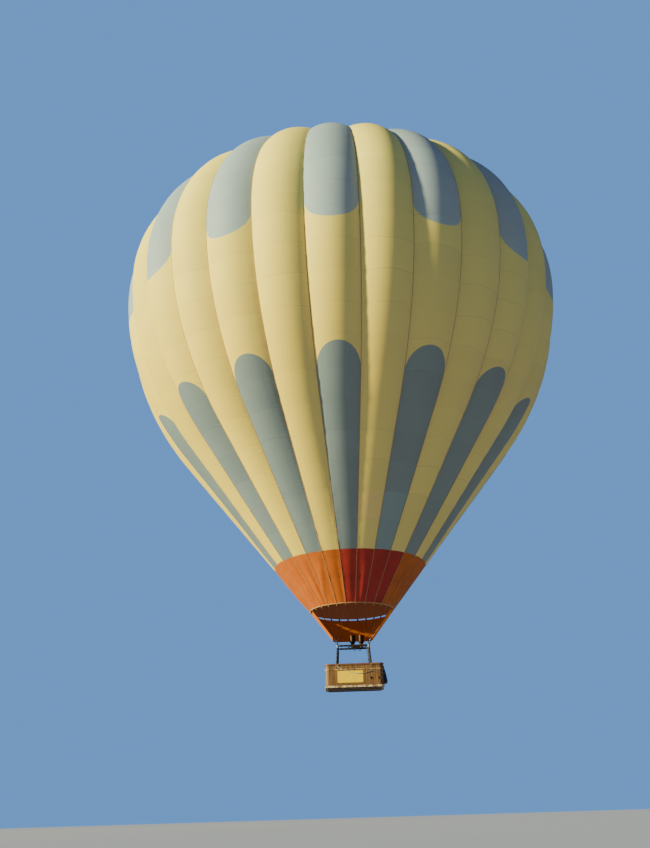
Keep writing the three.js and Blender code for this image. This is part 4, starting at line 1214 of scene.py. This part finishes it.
def make_cans():
    """The burner cans: rolled sheet with a folded lip and air holes' rims, and the vaporiser coil inside."""
    height = CAN_TOP_Z - CAN_BOTTOM_Z
    inner = CAN_R - CAN_WALL
    can = [(CAN_R - 0.004, 0), (CAN_R, 0.004), (CAN_R, 0.03), (CAN_R - 0.003, 0.034), (CAN_R - 0.003, 0.05),
           (CAN_R, 0.054), (CAN_R, height - 0.06), (CAN_R - 0.012, height - 0.004), (CAN_R - 0.014, height),
           (inner - 0.01, height), (inner - 0.012, height - 0.004), (inner, height - 0.06), (inner, 0.012),
           (0.03, 0.008)]
    for name, side in SIDES:
        foot = Vector((BURNER_X + side * CAN_X, 0, CAN_BOTTOM_Z))
        coil = coil_path(foot, inner - 0.02, 0.03, height - 0.08, 6)
        jets = coil_path(foot, 0.055, 0.02, 0.021, 1)
        parts = [turned(HOT_STEEL, foot, can, 64), sweep(HOT_STEEL, coil, circle(0.009, 8)),
                 sweep(HOT_STEEL, jets[:-1], circle(0.009, 8), closed=True)]
        turns = range(0, 360, 30)
        port = rod(HOT_STEEL, (0, 0.004 - CAN_R, 0.085), (0, -0.003 - CAN_R, 0.085), 0.011, 16, 0.1)
        jet = rod(HOT_STEEL, (0, 0, 0.024), (0, 0, 0.04), 0.004, 8)
        parts += set_out(port, [foot] * len(turns), turns)
        parts += set_out(jet, [foot + outwards(turn) * 0.055 for turn in turns])
        finish(f"burner_can_{name}_rolled", parts, [f"burner_can_{name}"], "burner", 35)


# Basket

def basket_normal(p):
    flat_x, flat_y = BASKET_X - BASKET_CORNER, BASKET_Y - BASKET_CORNER
    inner = Vector((clamp(p.x, -flat_x, flat_x), clamp(p.y, -flat_y, flat_y), p.z))
    return (p - inner).normalized()


def basket_path(out, z, count):
    """A closed path round the basket, a distance out from its wall, its points evenly spaced on the wall."""
    dense = []
    for quadrant, (_, sx, sy) in enumerate(CORNERS):
        for k in range(25):
            turn = math.radians(90 * (quadrant - 1) + 90 * k / 24)
            x = sx * (BASKET_X - BASKET_CORNER) + BASKET_CORNER * math.cos(turn)
            dense.append(Vector((x, sy * (BASKET_Y - BASKET_CORNER) + BASKET_CORNER * math.sin(turn), z)))
    dense.append(dense[0])
    return [p + basket_normal(p) * out for p in spaced(dense, length_of(dense) / count)[:-1]]


def weave_hollow(column, height):
    """How hollow the weave is at a quarter-stake column and a height: 0 on a rod's crest, 1 between rods."""
    stakes = column / 4
    row = math.floor(height / WEAVER + 0.001)
    rounded = math.sin(math.pi * (height / WEAVER - row))
    over_stake = 0.5 + 0.5 * math.cos(2 * math.pi * stakes)
    in_and_out = 0.5 + 0.5 * math.cos(math.pi * (stakes + row))
    return 1 - 0.4 * over_stake - 0.35 * in_and_out - 0.25 * abs(rounded)


def woven_wall(path, normals, z0, z1, thickness, closed, is_hole=None):
    """Willow rods woven in and out of upright stakes, as one wall with a relief on both of its faces."""
    columns = len(path)
    cells = columns if closed else columns - 1
    rows = round((z1 - z0) / (WEAVER / 3))
    points, hollow_shade, faces, index = [], [], [], {}

    def point_at(face, i, j):
        j = j % columns if closed else j
        if (face, i, j) not in index:
            z = lerp(z0, z1, i / rows)
            hollow = weave_hollow(j, z - z0)
            depth = WEAVE_DEPTH * hollow
            inward = depth if face == 0 else thickness - depth
            index[face, i, j] = len(points)
            points.append(moved(path[j] - normals[j] * inward, z=z - path[j].z))
            # How deep the painted shade is at this point, for the willow's colour.
            hollow_shade.append(clamp(1.7 * hollow - 0.75))
        return index[face, i, j]

    def present(i, j):
        j = j % columns if closed else j
        if not (0 <= i < rows and 0 <= j < cells):
            return False
        middle = path[j].lerp(path[(j + 1) % columns], 0.5)
        return not (is_hole and is_hole(middle, lerp(z0, z1, (i + 0.5) / rows)))

    for i, j in [(i, j) for i in range(rows) for j in range(cells) if present(i, j)]:
        corners = ((i, j), (i, j + 1), (i + 1, j + 1), (i + 1, j))
        outer, inner = ([point_at(face, *corner) for corner in corners] for face in (0, 1))
        faces += [outer, inner[::-1]]
        for k, (di, dj) in enumerate(((-1, 0), (0, 1), (1, 0), (0, -1))):
            if not present(i + di, j + dj):
                n = (k + 1) % 4
                faces.append([outer[n], outer[k], inner[k], inner[n]])
    obj = from_mesh(points, faces, CANE)
    obj.data.attributes.new("hollow", "FLOAT", "POINT").data.foreach_set("value", hollow_shade)
    return obj


def make_basket_wall():
    """The woven wall, with two footholds through its front and two through its back, bound in leather."""
    centres = [(-side * reach, side) for reach in FOOTHOLD_X for side in (-1, 1)]
    hold_z = BASKET_BOTTOM_Z + FOOTHOLD_Z + FOOTHOLD_H / 2

    def is_hole(middle, z):
        return any(abs(middle.x - x) < FOOTHOLD_W / 2 and middle.y * side > BASKET_Y - 0.01
                   and abs(z - hold_z) < FOOTHOLD_H / 2 for x, side in centres)

    path = basket_path(0, BASKET_BOTTOM_Z, WALL_POINTS)
    normals = [basket_normal(p) for p in path]
    parts = [woven_wall(path, normals, BASKET_BOTTOM_Z, RIM_TOP_Z - RIM_H + 0.004, WALL, True, is_hole)]
    outline = rounded_box(FOOTHOLD_W / 2 + 0.006, FOOTHOLD_H / 2 + 0.006, 32, 6.0, 0.0)
    ring = [Vector((a, 0, b)) for a, b in outline]
    binding = sweep(RIM_HIDE, ring, circle(FOOTHOLD_BINDING, 10), Vector((0, 1, 0)), closed=True)
    faces = [Vector((x, side * (BASKET_Y - face), hold_z)) for x, side in centres for face in (0, WALL)]
    parts += set_out(binding, faces)
    finish("basket_wall_woven", parts, ["basket_wall"], angle=60)


def make_rim():
    """The basket's padded rim, drawn in a little under each turn of its lacing."""
    middle = RIM_TOP_Z - RIM_H / 2
    half_w = WALL / 2 + RIM_OUT
    path = basket_path(-WALL / 2, middle, 8 * LACES)
    pitch = length_of(path + path[:1]) / LACES
    outline = rounded_box(half_w, RIM_H / 2, 20, 3.2)
    laced = rounded_box(half_w * 0.975, RIM_H / 2 * 0.975, 24, 3.2)

    def section(along):
        drawn = 1 - 0.05 * dip((along / pitch - round(along / pitch)) * pitch, 0.012)
        return [(a * drawn, b * drawn) for a, b in outline]

    parts = [sweep(RIM_HIDE, path, section, closed=True)]
    ring = [Vector((a, 0, b)) for a, b in laced]
    lace = sweep(TAN_STRAP, ring, circle(0.003, 6), Vector((0, -1, 0)), closed=True)
    places = basket_path(-WALL / 2, middle, LACES)
    ways = [basket_normal(p + basket_normal(p) * WALL) for p in places]
    parts += set_out(lace, places, [math.degrees(math.atan2(way.y, way.x)) for way in ways])
    finish("basket_rim_padded", parts, ["basket_rim"], angle=50)


def make_plaits():
    """Three bands of two rods plaited round the basket: one under its rim and two at its foot."""
    # Name, willow, distance out, height, and the rods' rise and radius
    bands = (("upper_plait", BUFF_WILLOW, 0.002, RIM_TOP_Z - 0.27, 0.013, 0.011),
             ("lower_plait", WHITE_WILLOW, 0.014, BASKET_BOTTOM_Z + 0.066, 0.017, 0.012),
             ("foot_plait", WHITE_WILLOW, 0.014, BASKET_BOTTOM_Z + 0.018, 0.017, 0.012))
    for name, rods, out, z, rise, radius in bands:
        strands = []
        for phase in (0, math.pi):
            path = []
            for i, p in enumerate(basket_path(out, z, 6 * PLAITS)):
                turn = 2 * math.pi * i / 6 + phase
                level = basket_normal(p) * (0.5 * radius * math.cos(turn))
                path.append(p + level + UP * (rise * math.sin(turn)))
            strands.append(sweep(rods, path, circle(radius, 8), closed=True))
        finish(name, strands, angle=60)


def make_base_band():
    """The leather wrap round the basket's foot, stitched along its upper edge."""
    half = BASE_BAND_H / 2
    t = BASE_BAND_T
    section = [(t, half - 0.003), (t - 0.002, half), (-0.006, half), (-0.006, -half), (t - 0.005, -half),
               (t - 0.001, -half + 0.003), (t + 0.001, -half + 0.01), (t, -half + 0.03), (t, 0)]
    round_foot = basket_path(0, BASKET_BOTTOM_Z + half, WALL_POINTS)
    parts = [sweep(BASE_HIDE, round_foot, section, closed=True)]
    for row_z in (BASE_BAND_H - 0.012, BASE_BAND_H - 0.02):
        path = basket_path(t + 0.0008, BASKET_BOTTOM_Z + row_z, 2 * WALL_POINTS)
        for pair in zip(path[::2], path[1::2]):
            rings = [[moved(p, z=0.001), moved(p, z=-0.001), p + basket_normal(p) * 0.0012] for p in pair]
            parts.append(skin(TAN_STRAP, rings))
    finish("base_band_leather", parts, ["base_band"], angle=50)


def make_partitions():
    """Two T-shaped woven walls inside, each capped with a leather tube along its top."""
    reach = BASKET_Y - WALL - GAP
    end = BASKET_X - WALL - GAP
    top = PARTITION_TOP_Z - 0.02
    half = PARTITION_T / 2
    for name, side in SIDES:
        x = side * PARTITION_X
        runs = (((x + half, -reach), (x + half, reach), Vector((1, 0, 0))),
                ((x + side * half, half), (side * end, half), Vector((0, 1, 0))))
        parts = []
        for from_here, to_there, normal in runs:
            path = spaced([Vector((*from_here, FLOOR_TOP)), Vector((*to_there, FLOOR_TOP))], STAKE / 4)
            wall = woven_wall(path, [normal] * len(path), FLOOR_TOP, top, PARTITION_T, False)
            middle = [moved(p - normal * half, z=top - FLOOR_TOP) for p in path]
            parts += [recalculate(wall), sweep(RIM_HIDE, middle, rounded_box(0.027, 0.022, 16, 3.0))]
        finish(f"partition_{name}_woven", parts, [f"partition_{name}"], angle=60)


def make_cylinders():
    """Fuel cylinders: spun shell, foot ring, guard collar, tap with a handwheel, gauge, and two straps."""
    shell = [(0.105, 0), (0.108, 0.002), (0.108, 0.03), (0.118, 0.032), (0.142, 0.048), (0.15, 0.075),
             (0.15, 0.4), (0.1515, 0.405), (0.1515, 0.415), (0.15, 0.42), (0.15, 0.785), (0.144, 0.812),
             (0.125, 0.835), (0.095, 0.85), (0.05, 0.858)]
    strap_heights, strap_half, tap_z = (0.28, 0.68), 0.022, 0.901
    # Two straps, boss, tap and gauge: finish, place towards the corner, foot, top, radius, sides and ease
    upright = [(BLACK_STRAP, 0, z - strap_half, z + strap_half, 0.1525, 56, 0.006) for z in strap_heights]
    upright += [(BRASS, 0, 0.856, 0.886, 0.026, 8, 0.1), (BRASS, 0, 0.886, 0.93, 0.017, 16, 0.1),
                (STEEL, 0.055, 0.858, 0.88, 0.02, 24, 0.15)]
    # The tap's side arm and its handwheel: finish, from, to, radius, sides and ease
    level = ((BRASS, 0, 0.05, 0.011, 16, 0.1), (GRIP, 0.046, 0.06, 0.026, 10, 0.25))
    for name, x, y in CORNERS:
        foot = Vector((x * CYLINDER_X, y * CYLINDER_Y, FLOOR_TOP))
        guard = [moved(foot + outwards(turn) * 0.09, z=0.885) for turn in range(0, 360, 8)]
        parts = [turned(ALUMINIUM, foot, shell, 56),
                 sweep(STEEL, guard, rounded_box(0.002, 0.035, 8, 8.0), closed=True)]
        for material, out, low, high, radius, sides, ease in upright:
            ends = [moved(foot, x * out, 0, height) for height in (low, high)]
            parts.append(rod(material, *ends, radius, sides, ease))
        for height in strap_heights:
            parts.append(block(STEEL, moved(foot, 0, -y * 0.152, height), (0.03, 0.004, 0.026), 0.002))
        for material, near, far, radius, sides, ease in level:
            ends = [moved(foot, 0, -y * out, tap_z) for out in (near, far)]
            parts.append(rod(material, *ends, radius, sides, ease))
        finish(f"fuel_cylinder_{name}_spun", parts, [f"fuel_cylinder_{name}"])


# Banner, bag, cords

def make_banner():
    """A blank banner, tied flat against the weave, with a doubled hem and brass eyelets."""
    y = -BASKET_Y - GAP - 0.004
    z0, z1 = (BASKET_BOTTOM_Z + z for z in BANNER_Z)
    rows = []
    for i in range(BANNER_ROWS + 1):
        down = i / BANNER_ROWS
        z = lerp(z1, z0, down)
        row = []
        for j in range(BANNER_COLUMNS + 1):
            across = j / BANNER_COLUMNS
            x = lerp(*BANNER_X, across)
            loose = 0.0016 * math.sin(math.pi * down) * math.sin(math.pi * across)
            row.append(Vector((x, y + loose * math.sin(x * 17) * math.sin(z * 9 + x * 3), z)))
        rows.append(row)
    cloth = cloth_grid(VINYL, rows, 0.0014, 0.0)
    finish("banner_cloth", [cloth], ["banner"], angle=40)
    edge = rows[0] + [row[-1] for row in rows[1:]] + rows[-1][-2::-1] + [row[0] for row in rows[-2:0:-1]]
    parts = [sweep(VINYL, edge, rounded_box(0.0016, 0.011, 8), closed=True)]
    x0, x1 = BANNER_X
    choose()
    bpy.ops.mesh.primitive_torus_add(major_radius=EYELET_R, minor_radius=EYELET_T, major_segments=20,
                                     minor_segments=8, rotation=(math.pi / 2, 0, 0))
    eyelet = dress(settle(bpy.context.object), BRASS)
    across = (x0 + EYELET_IN, lerp(x0, x1, 1 / 3), lerp(x0, x1, 2 / 3), x1 - EYELET_IN)
    spots = [(x, y - 0.0015, z) for x in across for z in (z0 + EYELET_IN, z1 - EYELET_IN)]
    parts += set_out(eyelet, spots)
    finish("banner_hem_and_eyelets", parts)


def make_bag():
    """The line bag on the right-hand end: a full sack that widens downwards, hung on two straps."""
    outline = [(0.004, 0), (0.03, -0.012), (0.07, -0.16), (0.12, -0.33), (0.158, -0.52), (0.184, -0.7),
               (0.178, -0.78), (0.14, -0.812), (0.07, -0.818), (0.004, -0.815)]
    outer = route_curve([Vector((a, 0, b)) for a, b in outline], 0.035)
    side_view = outer + [Vector((0.001, 0, lerp(-0.8, -0.02, k / 8))) for k in range(9)]
    back = Vector((BASKET_X + GAP, 0, RIM_TOP_Z - RIM_H - GAP))
    waist_z = -0.41
    rings = []
    for i in range(BAG_RINGS + 1):
        share = i / BAG_RINGS
        edge = 1 - abs(2 * share - 1) ** 5
        fill = lerp(0.62, 1.0, edge ** 0.5)
        ring = []
        for p in side_view:
            fold = 0.004 * math.sin(p.z * 23 + share * 9) * math.sin(share * 19) * edge
            sag = -0.006 * math.sin(math.pi * share) if p.z < -0.7 else 0
            height = waist_z + (p.z - waist_z) * lerp(0.985, 1.0, edge) + sag
            out = max(0.0005, p.x * fill + fold * (p.x > 0.02))
            ring.append(moved(back, out, lerp(*BAG_Y, share), height))
        rings.append(ring)
    parts = [skin(BAG, rings)]
    for y in (BAG_Y[0] + 0.1, BAG_Y[1] - 0.1):
        run = [moved(back, p.x + 0.003, y, p.z) for p in outer[:-3]]
        parts.append(sweep(BLACK_STRAP, run, rounded_box(0.0015, 0.017, 8), Vector((0, 1, 0))))
    finish("line_bag_sewn", parts, ["line_bag"], angle=50)


def round_corner(degrees, z):
    turn = math.radians(degrees)
    reach = BASKET_CORNER + LINE_OUT
    x = BASKET_X - BASKET_CORNER + reach * math.sin(turn)
    return (x, -BASKET_Y + BASKET_CORNER - reach * math.cos(turn), z)


def make_handling_line():
    """The handling line: from the left upright's foot along the front, round the corner to the bag."""
    front = ((-0.79, -19.431), (-0.77, -19.462), (-0.69, -19.52), (-0.54, -19.6), (-0.38, -19.672),
             (-0.21, -19.735), (-0.05, -19.782), (0.11, -19.81), (0.3, -19.812), (0.5, -19.79),
             (0.69, -19.752), (0.845, -19.72), (1.0, -19.752), (1.12, -19.78))
    corner = ((0, -19.797), (30, -19.812), (60, -19.822), (90, -19.826))
    end = ((-0.52, -19.824), (BAG_Y[0] - 2 * GAP, -19.82))
    route = [(x, -BASKET_Y - LINE_OUT, z) for x, z in front]
    route += [round_corner(*turn) for turn in corner]
    route += [(BASKET_X + LINE_OUT, y, z) for y, z in end]
    path = route_curve(route, 0.007)

    def laid(along):
        twist = 2 * math.pi * along / LINE_LAY
        return section_of(12, lambda turn: 0.0112 + 0.0018 * math.cos(3 * turn - twist))

    rope = finish("handling_line_rope", [sweep(ROPE, path, laid)], ["handling_line"], angle=60)


def make_hoses():
    """Two fuel hoses, from the right-hand cylinders up beside the uprights to the right-hand gimbal block."""
    plan = [
        (0.2, 0.585, -19.4814), (0.2, 0.585, -19.4577), (0.206, 0.587, -19.4297), (0.25, 0.6, -19.36),
        (0.36, 0.625, -19.31), (0.5, 0.655, -19.27), (0.62, 0.68, -19.235), (0.692, 0.69, -19.17),
        (0.706, 0.665, -19.08), (0.7, 0.6, -18.93), (0.69, 0.535, -18.77), (0.676, 0.47, -18.65),
        (0.66, 0.38, -18.59), (0.646, 0.25, -18.576), (0.634, 0.11, -18.572), (0.627, 0.04, -18.562),
        (0.625, 0.015, -18.54), (0.625, 0.014, -18.52), (0.625, 0.014, -18.5006),
    ]
    for name, side in (("front", -1), ("back", 1)):
        hose = f"fuel_hose_{name}"
        route = [(x, side * y, z) for x, y, z in plan]
        path = route_curve(route, 0.012)
        run = sweep(RUBBER, path, circle(HOSE_D / 2, 12))
        tube = finish(f"{hose}_tube", [run], [hose], angle=60)
        ferrules = [rod(BRASS, a, b, 0.0115, 6, 0.2) for a, b in ((path[0], path[3]), (path[-4], path[-1]))]
        finish(f"{hose}_fittings", ferrules)


def make_foot_straps():
    """A tan loop at each upright's foot: over the rim, down the outside of the weave and back up."""
    # Across from the upright, out from the wall, and down from the rim's top
    loop = ((-0.03, -0.02, -0.006), (-0.03, 0.03, 0.03), (-0.034, 0.03, 0.1), (-0.045, 0.008, 0.17),
            (-0.04, 0.008, 0.27), (-0.015, 0.008, 0.33), (0.02, 0.008, 0.33), (0.045, 0.008, 0.27),
            (0.05, 0.008, 0.17), (0.04, 0.03, 0.1), (0.035, 0.03, 0.03), (0.035, -0.02, -0.006))
    loops = []
    for _, x, y in CORNERS:
        route = [(x * FOOT_X + across, y * (BASKET_Y + out), RIM_TOP_Z - down) for across, out, down in loop]
        loops.append(sweep(TAN_STRAP, route_curve(route, 0.012), circle(0.006, 8), Vector((1, 0, 0))))
    finish("upright_foot_straps", loops, angle=60)


def main():
    make_camera()
    make_handling_line()
    make_hoses()
    make_light()
    make_floor()
    make_gores()
    make_bands()
    make_seam_tapes()
    make_mouth_rim()
    make_crown()
    make_valve()
    make_flying_wires()
    make_scoop()
    make_padding()
    make_frame_corners()
    make_rails()
    make_ring()
    make_burner_base()
    make_cans()
    make_basket_wall()
    make_rim()
    make_plaits()
    make_base_band()
    make_partitions()
    make_cylinders()
    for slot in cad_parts["basket_floor"].material_slots:
        slot.material = plywood()
    make_banner()
    make_bag()
    make_foot_straps()


main()
